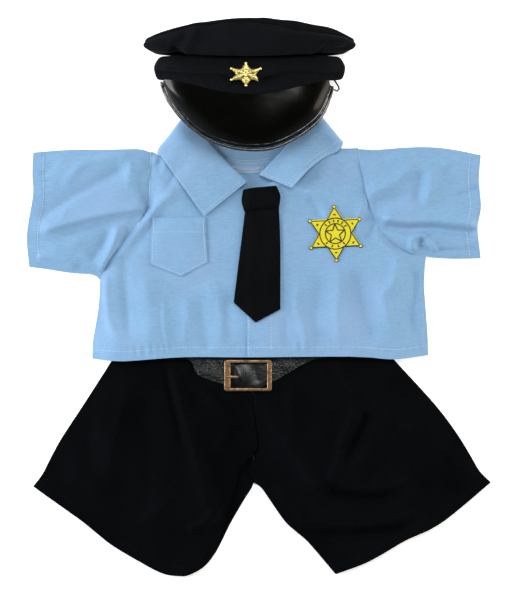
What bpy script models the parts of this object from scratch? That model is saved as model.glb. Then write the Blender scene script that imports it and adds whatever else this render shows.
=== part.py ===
# A toy bear's police uniform laid out flat: shirt with sewn-in tie, shorts with a belt, and a peaked cap.
# +X is the wearer's left, +Y runs from the hem to the cap, +Z rises from the surface it lies on.
# All sizes and tables are in millimetres; the meshes are written in metres.
import math

import bmesh
import bpy
import numpy as np
from mathutils import Matrix, Vector
from mathutils.geometry import delaunay_2d_cdt

# ---------------------------------------------------------------- driving dimensions
CLOTH = 1.0             # wall of a cotton panel with its turned seam allowance
SEAM = 0.3              # gap between pieces at a seam and between layers
LAYER = CLOTH + SEAM    # what one layer adds to the stack
VINYL = 1.2             # belt strap
LAP_HALF = 9.0          # half of the width by which the shirt fronts overlap
LAP_EASE = 26.0         # distance over which the upper front comes down from the overlap
SHIRT_FULLNESS = 2.2    # how far the shirt front stands off its back
SHORTS_FULLNESS = 2.6   # the same for the fronts of the shorts
SEAM_EASE = 15.0        # distance from a closed seam over which the cloth rises to its fullness
SHIRT_LIFT = 5.0        # height of the shirt where it lies on the waist of the shorts
LIFT_EASE = 22.0        # distance over which it comes down to the surface
FRONT_STEP = 10.0       # spacing of the points on a front
BACK_STEP = 17.0        # spacing of the points on a back
SHORTS_STEP = 10.5      # spacing of the points on the fronts of the shorts
COLLAR_FOLD = 1.2       # radius of the collar's roll, to the middle of its cloth
CAP_WALL = 1.5          # interlined cloth of the cap
CAP_AXIS_X = -7.0       # middle of the cap
CAP_STEPS = 40          # points round the cap
PEAK_THICKNESS = 2.0    # stiff peak
PEAK_CROWN = 1.6        # how far its middle bulges up
BINDING_RADIUS = 1.4    # rolled binding on the rim of the peak
ELASTIC_RADIUS = 0.6    # chin elastic
BUCKLE_BAR = 3.6        # width of the buckle's frame
BUCKLE_THICKNESS = 1.6  # its plate
STAR_TIP = 20.0         # radius of the chest star to its tips
STAR_HOLLOW = 11.6      # radius to the corners between them
CAP_STAR_TIP = 13.6
CAP_STAR_HOLLOW = 7.8
CAP_STAR_HEIGHT = 0.68  # its height for its width
UNIT = 0.001            # millimetres to metres


def table(columns, *rows):
    """Rows of numbers under named columns, as one array for each column."""
    values = np.array(rows, float)
    return {name: values[:, index] for index, name in enumerate(columns.split())}


# ---------------------------------------------------------------- the cut: seam lines shared by the pieces
SHIRT_HEM = table("x y", (-125, -46), (-103, -48), (-58, -45), (-8, -45), (69, -44.5), (101, -46.5), (127, -43.5))
RIGHT_SIDE = table("x y", (-125, -46), (-124.5, -33), (-120.5, -8), (-119, 13.5))
RIGHT_ARMHOLE = table("x y", (-119, 13.5), (-113, 27), (-104, 39), (-91, 55.5), (-83.5, 68.5), (-82, 88),
                      (-81, 109.5))
RIGHT_SHOULDER = table("x y", (-81, 109.5), (-74, 106), (-53.5, 119))
LEFT_SIDE = table("x y", (127, -43.5), (126.5, -27), (124, 10), (125.5, 31))
LEFT_ARMHOLE = table("x y", (125.5, 31), (115.5, 33), (102.5, 39.5), (91, 50), (84, 64), (79, 84), (76, 98),
                     (74.5, 112))
LEFT_SHOULDER = table("x y", (74.5, 112), (59, 112), (41, 118))
FRONT_NECK = table("x y", (-53.5, 119), (-46.5, 105), (-35, 91), (-23, 82.5), (-9, 81), (2, 83), (13.5, 88),
                   (25, 97), (33.5, 108.5), (41, 118))
BACK_NECK = table("x y", (-53.5, 119), (-33, 104.5), (-7, 97), (23, 104.5), (41, 118))
RIGHT_SLEEVE_TOP = table("x y", (-81, 109.5), (-91, 112), (-115.5, 111.5), (-141.5, 111.5), (-169.5, 109.5))
RIGHT_CUFF = table("x y", (-169.5, 109.5), (-170, 92), (-169.5, 77.5), (-174, 48), (-172.5, 23.5))
RIGHT_UNDERARM = table("x y", (-119, 13.5), (-124.5, 17.5), (-141.5, 19), (-161, 22), (-172.5, 23.5))
LEFT_SLEEVE_TOP = table("x y", (74.5, 112), (88, 111.5), (107.5, 113), (127, 113.5), (146.5, 111.5), (166.5, 107.5))
LEFT_CUFF = table("x y", (166.5, 107.5), (165, 89), (166.5, 68.5), (164, 52), (166.5, 30))
LEFT_UNDERARM = table("x y", (125.5, 31), (133, 30), (148, 29.5), (166.5, 30))
POCKET = table("x y", (-80.5, 59.7), (-40.5, 59.7), (-38.5, 26), (-58.5, 15.5), (-81.5, 24.5))
TIE_BLADE = table("x y", (-10.5, 63.7), (15, 66.2), (16, 37.5), (16, -9), (-2.5, -19), (-19, -4), (-15, 28))
TIE_KNOT = table("x y", (-12, 80.5), (-4, 82), (13, 83.5), (16, 76), (15, 66.6), (-11, 64.1), (-13, 72))
CHEST_STAR = {"x": 57.2, "y": 48.4, "turn": -2.5, "wide": 1.07}

SHORTS_WAIST = table("x y", (-98, -28), (-50, -28.5), (-5, -28), (40, -28.5), (85, -28))
CENTRE_FRONT = table("x y", (-5, -28), (-5, -69), (-3.5, -90), (0, -112))
CENTRE_BACK = table("x y", (-5, -28), (-5, -75), (-4, -139.5))
RIGHT_OUTSEAM = table("x y", (-98, -28), (-130, -78), (-149.5, -108), (-163, -133.5), (-169.5, -142))
RIGHT_LEG_HEM = table("x y", (-169.5, -142), (-131.5, -169), (-112.5, -184.5), (-88.5, -199), (-70, -208),
                      (-52.5, -208.5), (-40.5, -201.5), (-31, -189))
RIGHT_INSEAM_FRONT = table("x y", (-31, -189), (-24, -163), (-19, -146), (-13.5, -127.5), (-6.5, -120),
                           (-2, -114.5), (0, -112))
RIGHT_INSEAM_BACK = table("x y", (-31, -189), (-21.5, -170), (-12, -153.5), (-4, -139.5))
LEFT_OUTSEAM = table("x y", (85, -28), (102, -47.5), (132.5, -81), (151, -106), (166, -131), (174, -139))
LEFT_LEG_HEM = table("x y", (174, -139), (136.5, -169.5), (110, -182.5), (83, -198), (57.5, -208))
LEFT_INSEAM = table("x y", (57.5, -208), (35.5, -182.5), (20.5, -169.5), (2, -143.5), (-4, -138), (-7.5, -130.5),
                    (-4.5, -122), (-1.5, -117), (0, -112))
BELT_LOWER = table("x y", (-93, -45), (-62, -45), (-50.5, -49), (-46, -58), (-35.5, -62.5), (-9, -69), (8, -64.5),
                   (26, -54.5), (41, -47), (60, -45), (83, -45))
BELT_UPPER = table("x y", (83, -26.5), (50, -26.5), (26, -32), (8, -42.5), (-9, -46.5), (-33, -41), (-50, -30),
                   (-62, -26.5), (-93, -26.5))
BUCKLE = {"left": -26.0, "right": 9.5, "top": -46.2, "bottom": -69.5}

# the largest folds: a ridge from one end to the other, its height over the panel and its width
SHIRT_FOLDS = table("x0 y0 x1 y1 height width",
                    (-62, 82, -111, 30, 3.0, 9),
                    (-113, 28, -100, -20, 1.8, 12),
                    (-76, 0, -72, -40, 1.5, 9),
                    (66, -2, 72, -42, 1.4, 10),
                    (40, 80, 74, 30, 1.2, 12),
                    (92, 30, 104, -30, 1.6, 11))
RIGHT_SLEEVE_FOLDS = table("x0 y0 x1 y1 height width",
                           (-84, 68, -167, 52, 2.4, 7),
                           (-89, 95, -158, 64, 1.6, 8),
                           (-108, 56, -116, 34, 1.6, 6))
LEFT_SLEEVE_FOLDS = table("x0 y0 x1 y1 height width",
                          (94, 56, 164, 49, 2.4, 7),
                          (86, 92, 150, 80, 1.4, 9),
                          (115, 40, 133, 45, 1.4, 6))
RIGHT_LEG_FOLDS = table("x0 y0 x1 y1 height width",
                        (-66, -50, -33, -158, 3.4, 8),
                        (-57, -52, -14, -100, 2.6, 8),
                        (-55, -172, -31, -160, 2.2, 7),
                        (-120, -80, -105, -160, 1.6, 12))
LEFT_LEG_FOLDS = table("x0 y0 x1 y1 height width",
                       (62, -52, 76, -80, 2.8, 10),
                       (76, -80, 54, -140, 3.2, 9),
                       (18, -100, 48, -142, 2.6, 8),
                       (48, -144, 104, -150, 2.4, 9),
                       (30, -176, 118, -170, 2.6, 8))

# the collar from the wearer's right point round the back to the left point: its neck edge n, its roll r and its
# outer edge f; turn is 0 where the fall lies over the front, 90 at the shoulder and 180 where it lies behind
COLLAR = table("nx ny rx ry fx fy turn side",
               (-17, 84, -10, 86.5, -41.5, 61, 0, -1),
               (-31, 92, -26, 102, -52, 76, 0, -1),
               (-43.5, 105, -40, 118.5, -63.5, 92, 0, -1),
               (-50, 117, -48.5, 137, -73, 105.5, 10, -1),
               (-51.5, 121, -50, 142, -76, 111, 90, -1),
               (-47.5, 119, -47, 139, -69, 117.5, 170, -1),
               (-33, 103.5, -32, 126, -45, 119.5, 180, -0.6),
               (-7, 95.5, -7, 118.5, -7, 100.5, 180, 0),
               (22, 103.5, 23, 125.5, 33, 118.5, 180, 0.6),
               (36, 117, 39, 136, 56, 120.5, 170, 1),
               (39.5, 120, 42, 139.5, 63, 117, 90, 1),
               (38, 116.5, 40.5, 135, 59.5, 110.5, 10, 1),
               (32, 108.5, 30, 123, 50, 106, 0, 1),
               (23, 98, 16, 107, 38, 97, 0, 1),
               (8, 88.5, 1.5, 92, 24.5, 82.5, 0, 1))

# the cap lies on its back; each row is a ring round its axis, with where the ring is at the side, front and back
CAP_BAND = table("half_width side front back centre_z half_z",
                 (68.6, 162.5, 150.8, 163.5, 18, 20),
                 (70.0, 166.5, 161.5, 167, 18, 20.5),
                 (70.5, 173, 169.5, 173, 18.5, 23.5),
                 (67.0, 180.2, 178.0, 180, 18.5, 21.5))
CAP_SIDE = table("half_width side front back centre_z half_z",
                 (67.0, 180.7, 178.5, 180.5, 18.5, 21.5),
                 (73.0, 183.5, 180.5, 183, 21, 26),
                 (77.5, 187.2, 191.5, 189, 23, 27),
                 (78.0, 190.5, 206.6, 200, 22.5, 23.5))
CAP_TOP_RINGS = table("scale bulge", (0.985, 0.5), (0.8, 2.6), (0.55, 3.6), (0.28, 4.2))
CAP_DENT = {"angle": 62.0, "width": 24.0, "depth": 6.0}
PEAK_RIM = table("x y z", (-71.5, 161.5, 21), (-69, 154.5, 20.5), (-64.5, 145.5, 21.5), (-46.5, 126.5, 25),
                 (-19, 114, 29), (-5, 112, 30), (11, 113.8, 29.5), (35, 127.8, 26), (44.5, 139, 23.5),
                 (51, 151, 22.5), (53.5, 158, 24))
CAP_STAR = {"x": -10.0, "y": 167.0, "lift": 0.6}
# the chin elastic leaves the band at one side, shows as a small loop and lies inside the cap
ELASTIC = table("x y z", (54.5, 167, 15), (56.2, 163, 13.5), (59, 159, 11.5), (60, 156.6, 10), (58.4, 155, 9),
                (55.8, 156.2, 9.5), (51, 161, 9.8), (43, 166, 7.6), (28, 169, 3.8), (8, 166, 2.5), (-14, 168, 2.5),
                (-34, 166, 2.8), (-50, 167, 5.4), (-62, 168, 9.6), (-69, 168, 14), (-71.2, 168.5, 17))


# ---------------------------------------------------------------- curves and distances
def smooth_path(points, step):
    """Points about step apart along a Catmull-Rom curve through the given ones."""
    points = np.asarray(points, float)
    ends = np.vstack([2 * points[0] - points[1], points, 2 * points[-1] - points[-2]])
    path = []
    for i in range(1, len(ends) - 2):
        before, start, stop, after = ends[i - 1:i + 3]
        pieces = max(1, round(np.linalg.norm((stop - start)[:2]) / step))
        for t in np.arange(pieces) / pieces:
            path.append(0.5 * (2 * start + (stop - before) * t + (2 * before - 5 * start + 4 * stop - after) * t * t
                               + (3 * start - before - 3 * stop + after) * t ** 3))
    path.append(points[-1])
    return np.array(path)


def chain(line, step):
    return smooth_path(np.column_stack([line["x"], line["y"]]), step)


def join(*parts):
    """One closed outline from chains that meet end to end, turned round where they need to be."""
    outline = list(parts[0])
    for part in parts[1:]:
        if np.linalg.norm(part[0] - outline[-1]) > np.linalg.norm(part[-1] - outline[-1]):
            part = part[::-1]
        outline += list(part[1:] if np.linalg.norm(part[0] - outline[-1]) < 1e-6 else part)
    if np.linalg.norm(outline[0] - outline[-1]) < 1e-6:
        outline.pop()
    return np.array(outline)


def path_shares(path):
    """How far along the path each of its points is, from 0 to 1."""
    steps = np.concatenate([[0], np.cumsum(np.linalg.norm(np.diff(path, axis=0), axis=1))])
    return steps / steps[-1]


def resample(path, shares):
    return np.column_stack([np.interp(shares, path_shares(path), path[:, axis]) for axis in range(path.shape[1])])


def offset_path(path, towards, distance):
    """The path moved sideways, to the side that the direction points to."""
    run = np.gradient(path, axis=0)
    normal = np.column_stack([run[:, 1], -run[:, 0]]) / np.linalg.norm(run, axis=1, keepdims=True)
    if (normal @ np.array(towards)).mean() < 0:
        normal = -normal
    return path + normal * distance


def path_distance(point, path):
    start, stop = path[:-1], path[1:]
    run = stop - start
    t = np.clip(((point - start) * run).sum(1) / np.maximum((run * run).sum(1), 1e-9), 0, 1)
    return float(np.min(np.linalg.norm(start + run * t[:, None] - point, axis=1)))


def inside(point, outline):
    x, y = point
    x0, y0 = outline[:, 0], outline[:, 1]
    x1, y1 = np.roll(x0, -1), np.roll(y0, -1)
    crosses = (y0 > y) != (y1 > y)
    at = x0 + (y - y0) * (x1 - x0) / np.where(crosses, y1 - y0, 1)
    return bool(np.count_nonzero(crosses & (x < at)) % 2)


def ease(value):
    value = min(max(value, 0.0), 1.0)
    return value * value * (3 - 2 * value)


def folds_at(point, folds):
    """Height of the soft ridges of a fold table at a point."""
    height = 0.0
    for x0, y0, x1, y1, rise, width in zip(*(folds[name] for name in ("x0", "y0", "x1", "y1", "height", "width"))):
        run = np.array([x1 - x0, y1 - y0])
        t = float(np.dot(point - (x0, y0), run) / np.dot(run, run))
        nearest = np.array([x0, y0]) + run * min(max(t, 0), 1)
        along = 0.55 + 0.45 * math.sin(math.pi * min(max(t, 0), 1))
        height += rise * along * math.exp(-(np.linalg.norm(point - nearest) / width) ** 2)
    return height


# ---------------------------------------------------------------- meshes
def material(name, colour, roughness, metallic=0.0):
    made = bpy.data.materials.new(name)
    made.use_nodes = True
    shader = made.node_tree.nodes["Principled BSDF"]
    shader.inputs["Base Color"].default_value = (*colour, 1)
    shader.inputs["Roughness"].default_value = roughness
    shader.inputs["Metallic"].default_value = metallic
    return made


def add_object(name, vertices, faces, finish, smooth_angle=50):
    mesh = bpy.data.meshes.new(name)
    mesh.from_pydata([Vector(v) * UNIT for v in vertices], [], faces)
    body = bmesh.new()
    body.from_mesh(mesh)
    bmesh.ops.recalc_face_normals(body, faces=body.faces)
    body.to_mesh(mesh)
    body.free()
    mesh.shade_smooth()
    mesh.set_sharp_from_angle(angle=math.radians(smooth_angle))
    mesh.materials.append(finish)
    made = bpy.data.objects.new(name, mesh)
    bpy.context.collection.objects.link(made)
    return made


def triangulate(lines, step):
    """One triangulation that has every line in it; pieces that lie on each other share its points."""
    points, edges = [], []
    for line, closed in lines:
        first = len(points)
        points += [tuple(p) for p in line]
        edges += [(first + i, first + i + 1) for i in range(len(line) - 1)]
        if closed:
            edges.append((len(points) - 1, first))
    everything = np.array(points)
    paths = [np.vstack([line, line[:1]]) if closed else line for line, closed in lines]
    low, high = everything.min(0), everything.max(0)
    row_gap = step * math.sqrt(3) / 2
    for row in range(int((high[1] - low[1]) / row_gap) + 1):
        for column in range(int((high[0] - low[0]) / step) + 1):
            point = np.array([low[0] + (column + 0.5 * (row % 2)) * step, low[1] + row * row_gap])
            if min(path_distance(point, path) for path in paths) > 0.5 * step:
                points.append(tuple(point))
    made = delaunay_2d_cdt([Vector(p) for p in points], edges, [], 0, 1e-4)
    return np.array([tuple(v) for v in made[0]]), made[2]


def cloth_piece(name, grid, belongs, height, thickness, finish):
    """The triangles of a shared grid that belong to a piece, as a wall of the given thickness."""
    points, triangles = grid
    chosen = [t for t in triangles if belongs(points[list(t)].mean(0))]
    used = sorted({v for t in chosen for v in t})
    place = {v: i for i, v in enumerate(used)}
    under = [(*points[v], height(points[v])) for v in used]
    over = [(x, y, z + thickness) for x, y, z in under]
    count = len(used)
    faces = [tuple(place[v] + count for v in t) for t in chosen]
    faces += [tuple(place[v] for v in reversed(t)) for t in chosen]
    sides = {(t[i], t[(i + 1) % 3]) for t in chosen for i in range(3)}
    for a, b in sorted(sides):
        if (b, a) not in sides:
            faces.append((place[a], place[b], place[b] + count, place[a] + count))
    return add_object(name, under + over, faces, finish)


def swept_wall(name, outer, inner, finish, closed):
    """A wall between two grids of points, rows by points along a row; closed rows are rings."""
    rows, count = len(outer), len(outer[0])
    vertices = [tuple(p) for row in outer for p in row] + [tuple(p) for row in inner for p in row]
    half = rows * count
    faces = []
    for r in range(rows):
        for c in range(count if closed else count - 1):
            a, b = r * count + c, r * count + (c + 1) % count
            if r < rows - 1:
                faces.append((a, b, b + count, a + count))
                faces.append((half + b, half + a, half + a + count, half + b + count))
            if r in (0, rows - 1):
                faces.append((a, b, half + b, half + a) if r else (b, a, half + a, half + b))
        if not closed and r < rows - 1:
            for c in (0, count - 1):
                a = r * count + c
                faces.append((a, a + count, half + a + count, half + a))
    return add_object(name, vertices, faces, finish)


def grid_normals(grid, closed):
    """Unit normals of a grid of points, from its neighbours along and across."""
    along = np.gradient(grid, axis=0)
    if closed:
        across = (np.roll(grid, -1, axis=1) - np.roll(grid, 1, axis=1)) / 2
    else:
        across = np.gradient(grid, axis=1)
    normals = np.cross(along, across)
    return normals / np.maximum(np.linalg.norm(normals, axis=2, keepdims=True), 1e-9)


# ---------------------------------------------------------------- shorts and belt
def make_shorts(cloth, strap, metal):
    step = SHORTS_STEP
    half_gap = np.array([SEAM / 2, 0])
    waist = chain(SHORTS_WAIST, step)
    middle = chain(CENTRE_FRONT, step)
    waist_middle = int(np.argmin(np.abs(waist[:, 0] - CENTRE_FRONT["x"][0])))
    right_seams = [chain(RIGHT_OUTSEAM, step), chain(RIGHT_INSEAM_FRONT, step)]
    left_seams = [chain(LEFT_OUTSEAM, step), chain(LEFT_INSEAM, step)]
    right_front = join(waist[:waist_middle + 1][::-1], right_seams[0], chain(RIGHT_LEG_HEM, step), right_seams[1],
                       middle[::-1])
    left_front = join(waist[waist_middle:], left_seams[0], chain(LEFT_LEG_HEM, step), left_seams[1], middle[::-1])
    whole = join(waist, left_seams[0], chain(LEFT_LEG_HEM, step), left_seams[1], right_seams[1][::-1],
                 chain(RIGHT_LEG_HEM, step)[::-1], right_seams[0][::-1])

    def front_height(point, seams, folds):
        room = min(path_distance(point, seam) for seam in seams)
        below_belt = ease((-46 - point[1]) / 40)
        return LAYER + ease(room / SEAM_EASE) * below_belt * (SHORTS_FULLNESS + folds_at(point, folds))

    def any_front_height(point):
        if point[0] < CENTRE_FRONT["x"][0]:
            return front_height(point, right_seams, RIGHT_LEG_FOLDS)
        return front_height(point, left_seams, LEFT_LEG_FOLDS)

    def cut_back(points, seam, side):
        """Moves the points of a seam half of the gap away from the other piece."""
        moved = points.copy()
        for index, point in enumerate(points):
            if path_distance(point, seam) < 1e-3:
                moved[index] = point + side * half_gap
        return moved

    for name, outline, side, seams, folds in (("shorts_front_right", right_front, -1, right_seams, RIGHT_LEG_FOLDS),
                                              ("shorts_front_left", left_front, 1, left_seams, LEFT_LEG_FOLDS)):
        outline = cut_back(outline, middle, side)
        grid = triangulate([(outline, True)], step)
        cloth_piece(name, grid, lambda p, o=outline: inside(p, o),
                    lambda p, s=seams, f=folds: front_height(p, s, f), CLOTH, cloth)

    step = BACK_STEP
    back_middle = chain(CENTRE_BACK, step)
    waist = chain(SHORTS_WAIST, step)
    waist_middle = int(np.argmin(np.abs(waist[:, 0] - CENTRE_FRONT["x"][0])))
    left_inseam = chain(LEFT_INSEAM, step)
    left_inseam = left_inseam[left_inseam[:, 1] < CENTRE_BACK["y"][-1] - 2]
    backs = (("shorts_back_right", -1, join(waist[:waist_middle + 1][::-1], chain(RIGHT_OUTSEAM, step),
                                            chain(RIGHT_LEG_HEM, step), chain(RIGHT_INSEAM_BACK, step),
                                            back_middle[::-1])),
             ("shorts_back_left", 1, join(waist[waist_middle:], chain(LEFT_OUTSEAM, step),
                                          chain(LEFT_LEG_HEM, step), left_inseam, back_middle[::-1])))
    for name, side, outline in backs:
        outline = cut_back(outline, back_middle, side)
        cloth_piece(name, triangulate([(outline, True)], step), lambda p, o=outline: inside(p, o),
                    lambda p: 0.0, CLOTH, cloth)

    belt = join(chain(BELT_LOWER, 8), chain(BELT_UPPER, 8))
    cloth_piece("belt_strap", triangulate([(belt, True)], 12), lambda p: inside(p, belt),
                lambda p: any_front_height(p) + LAYER + SEAM, VINYL, strap)
    make_buckle(metal, max(any_front_height(np.array([x, BUCKLE["bottom"]]))
                           for x in np.linspace(BUCKLE["left"], BUCKLE["right"], 9)))
    return whole


def make_buckle(metal, base):
    """An open rectangular frame on the strap, with a short prong on its left bar."""
    low = base + LAYER + 2 * SEAM + VINYL + SEAM
    left, right, top, bottom = (BUCKLE[k] for k in ("left", "right", "top", "bottom"))
    corner = 2.0

    def rounded(inset):
        radius = max(corner - inset * 0.6, 0.6)
        ring = []
        for cx, cy, start in ((right - inset - radius, top - inset - radius, 0),
                              (left + inset + radius, top - inset - radius, 90),
                              (left + inset + radius, bottom + inset + radius, 180),
                              (right - inset - radius, bottom + inset + radius, 270)):
            for turn in (0, 30, 60, 90):
                angle = math.radians(start + turn)
                ring.append((cx + radius * math.cos(angle), cy + radius * math.sin(angle)))
        return ring

    profile = ((0.0, 0.35), (0.0, 0.65), (0.35, 1.0), (BUCKLE_BAR - 0.35, 1.0), (BUCKLE_BAR, 0.65),
               (BUCKLE_BAR, 0.35), (BUCKLE_BAR - 0.35, 0.0), (0.35, 0.0))
    rings = [[(x, y, low + rise * BUCKLE_THICKNESS) for x, y in rounded(inset)] for inset, rise in profile]
    count = len(rings[0])
    faces = []
    for r in range(len(rings)):
        below = (r + 1) % len(rings)
        for c in range(count):
            after = (c + 1) % count
            faces.append((r * count + c, r * count + after, below * count + after, below * count + c))
    add_object("belt_buckle", [p for ring in rings for p in ring], faces, metal, 35)

    prong = bmesh.new()
    bmesh.ops.create_cone(prong, cap_ends=True, segments=10, radius1=1.0, radius2=0.7, depth=7.0)
    bmesh.ops.rotate(prong, verts=prong.verts, matrix=Matrix.Rotation(math.pi / 2, 3, "Y"))
    middle = (left + BUCKLE_BAR + 4.2, (top + bottom) / 2 - 2, low + 0.9)
    bmesh.ops.translate(prong, verts=prong.verts, vec=middle)
    corners = [tuple(v.co) for v in prong.verts]
    ends = [tuple(v.index for v in f.verts) for f in prong.faces]
    prong.free()
    add_object("buckle_prong", corners, ends, metal, 35)


# ---------------------------------------------------------------- shirt
def star_outline(place, tip, hollow):
    turn = math.radians(90 - place.get("turn", 0.0))
    wide = place.get("wide", 1.0)
    return np.array([(place["x"] + radius * math.cos(turn + k * math.pi / 6) * wide,
                      place["y"] + radius * math.sin(turn + k * math.pi / 6))
                     for k, radius in enumerate([tip, hollow] * 6)])


def make_shirt(cloth, dark, print_finish, shorts_outline):
    step = FRONT_STEP
    closed_shorts = np.vstack([shorts_outline, shorts_outline[:1]])

    def lift(point):
        """The shirt lies over the waist of the shorts and comes down to the surface beside it."""
        if inside(point, shorts_outline):
            return SHIRT_LIFT
        return SHIRT_LIFT * (1 - ease(path_distance(point, closed_shorts) / LIFT_EASE))

    closed_seams = [chain(line, step) for line in (RIGHT_SIDE, RIGHT_ARMHOLE, RIGHT_SHOULDER, LEFT_SIDE,
                                                   LEFT_ARMHOLE, LEFT_SHOULDER)]
    outline = join(chain(SHIRT_HEM, step)[::-1], chain(RIGHT_SIDE, step), chain(RIGHT_ARMHOLE, step),
                   chain(RIGHT_SHOULDER, step), chain(FRONT_NECK, step), chain(LEFT_SHOULDER, step)[::-1],
                   chain(LEFT_ARMHOLE, step)[::-1], chain(LEFT_SIDE, step)[::-1])
    laps = []
    for x in (-LAP_HALF, LAP_HALF):
        hem_y = float(np.interp(x, SHIRT_HEM["x"], SHIRT_HEM["y"])) - 3
        neck_y = float(np.interp(x, FRONT_NECK["x"], FRONT_NECK["y"])) + 4
        laps.append(np.column_stack([np.full(14, x), np.linspace(hem_y, neck_y, 14)]))
    pocket = np.column_stack([POCKET["x"], POCKET["y"]])
    blade = np.column_stack([TIE_BLADE["x"], TIE_BLADE["y"]])
    knot = np.column_stack([TIE_KNOT["x"], TIE_KNOT["y"]])
    star = star_outline(CHEST_STAR, STAR_TIP, STAR_HOLLOW)
    grid = triangulate([(outline, True), (laps[0], False), (laps[1], False), (pocket, True), (blade, True),
                        (knot, True), (star, True)], step)

    def under_front(point):
        room = min(path_distance(point, seam) for seam in closed_seams)
        full = SHIRT_FULLNESS + folds_at(point, SHIRT_FOLDS)
        return LAYER + lift(point) + ease(room / SEAM_EASE) * full

    def over_front(point):
        return under_front(point) + LAYER * (1 - ease((point[0] - LAP_HALF) / LAP_EASE))

    cloth_piece("shirt_front_right", grid, lambda p: inside(p, outline) and p[0] < LAP_HALF, under_front, CLOTH,
                cloth)
    cloth_piece("shirt_front_left", grid, lambda p: inside(p, outline) and p[0] > -LAP_HALF, over_front, CLOTH,
                cloth)
    cloth_piece("chest_pocket", grid, lambda p: inside(p, pocket), lambda p: under_front(p) + LAYER, CLOTH, cloth)
    cloth_piece("chest_star", grid, lambda p: inside(p, star), lambda p: over_front(p) + LAYER, CLOTH, print_finish)
    cloth_piece("tie_blade", grid, lambda p: inside(p, blade), lambda p: under_front(p) + 2 * LAYER, CLOTH, dark)
    cloth_piece("tie_knot", grid, lambda p: inside(p, knot), lambda p: under_front(p) + 2 * LAYER, 4.0, dark)

    back = join(chain(SHIRT_HEM, step)[::-1], chain(RIGHT_SIDE, step), chain(RIGHT_ARMHOLE, step),
                chain(RIGHT_SHOULDER, step), chain(BACK_NECK, step), chain(LEFT_SHOULDER, step)[::-1],
                chain(LEFT_ARMHOLE, step)[::-1], chain(LEFT_SIDE, step)[::-1])
    cloth_piece("shirt_back", triangulate([(back, True)], step * 1.2), lambda p: inside(p, back), lift, CLOTH, cloth)

    make_sleeve("sleeve_right", cloth, RIGHT_SLEEVE_TOP, RIGHT_UNDERARM, RIGHT_ARMHOLE, RIGHT_CUFF,
                RIGHT_SLEEVE_FOLDS, -1)
    make_sleeve("sleeve_left", cloth, LEFT_SLEEVE_TOP, LEFT_UNDERARM, LEFT_ARMHOLE, LEFT_CUFF,
                LEFT_SLEEVE_FOLDS, 1)
    make_collar(cloth, lambda p: over_front(p) if p[0] > -LAP_HALF else under_front(p), outline)


def make_sleeve(name, cloth, top, underarm, armhole, cuff, folds, side):
    """One panel folded along the top of the arm, its edges meeting at the underarm seam."""
    rows = 11
    head = offset_path(chain(armhole, FRONT_STEP)[::-1], (side, 0), SEAM * 1.2)    # shoulder to underarm
    across = len(head)
    shares = path_shares(head)
    end = resample(chain(cuff, 4), shares)
    ends = head[0], head[-1]
    evenly = np.linspace(0, 1, rows)
    upper = resample(chain(top, 4), evenly) + (ends[0] - chain(top, 4)[0]) * (1 - evenly)[:, None]
    lower = resample(chain(underarm, 4), evenly) + (ends[1] - chain(underarm, 4)[0]) * (1 - evenly)[:, None]

    def place(row, share):
        """A Coons patch between the four seams; share runs from the fold to the underarm."""
        u = row / (rows - 1)
        head_at, end_at = (np.array([np.interp(share, shares, line[:, axis]) for axis in (0, 1)])
                           for line in (head, end))
        ruled = upper[row] * (1 - share) + lower[row] * share
        corners = ((upper[0] * (1 - u) + upper[-1] * u) * (1 - share) + (lower[0] * (1 - u) + lower[-1] * u) * share)
        return ruled + head_at * (1 - u) + end_at * u - corners

    outer_radius = CLOTH + SEAM / 2
    turns = np.radians([-90, -54, -18, 18, 54, 90])
    outer, inner = [], []
    for row in range(rows):
        fold = place(row, 0.0)
        inward = place(row, 0.12) - fold
        inward = inward / np.linalg.norm(inward)
        outside, within = [], []
        down = shares[:0:-1]
        flat = [place(row, share) for share in down]
        for point in flat:
            outside.append((*point, 0.0))
            within.append((*point, CLOTH))
        for turn in turns:
            for line, radius in ((outside, outer_radius), (within, SEAM / 2)):
                at = fold + inward * (outer_radius - radius * math.cos(turn))
                line.append((*at, outer_radius + radius * math.sin(turn)))
        for point in flat[::-1]:
            room = min(path_distance(point, upper), path_distance(point, lower))
            rise = ease(room / SEAM_EASE) * (SHIRT_FULLNESS * 0.7 + folds_at(point, folds))
            near_body = ease(path_distance(point, head) / 8)
            rise *= 0.35 + 0.65 * near_body
            outside.append((*point, 2 * CLOTH + SEAM + rise))
            within.append((*point, LAYER + rise))
        outer.append(outside)
        inner.append(within)
    swept_wall(name, outer, inner, cloth, False)


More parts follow.
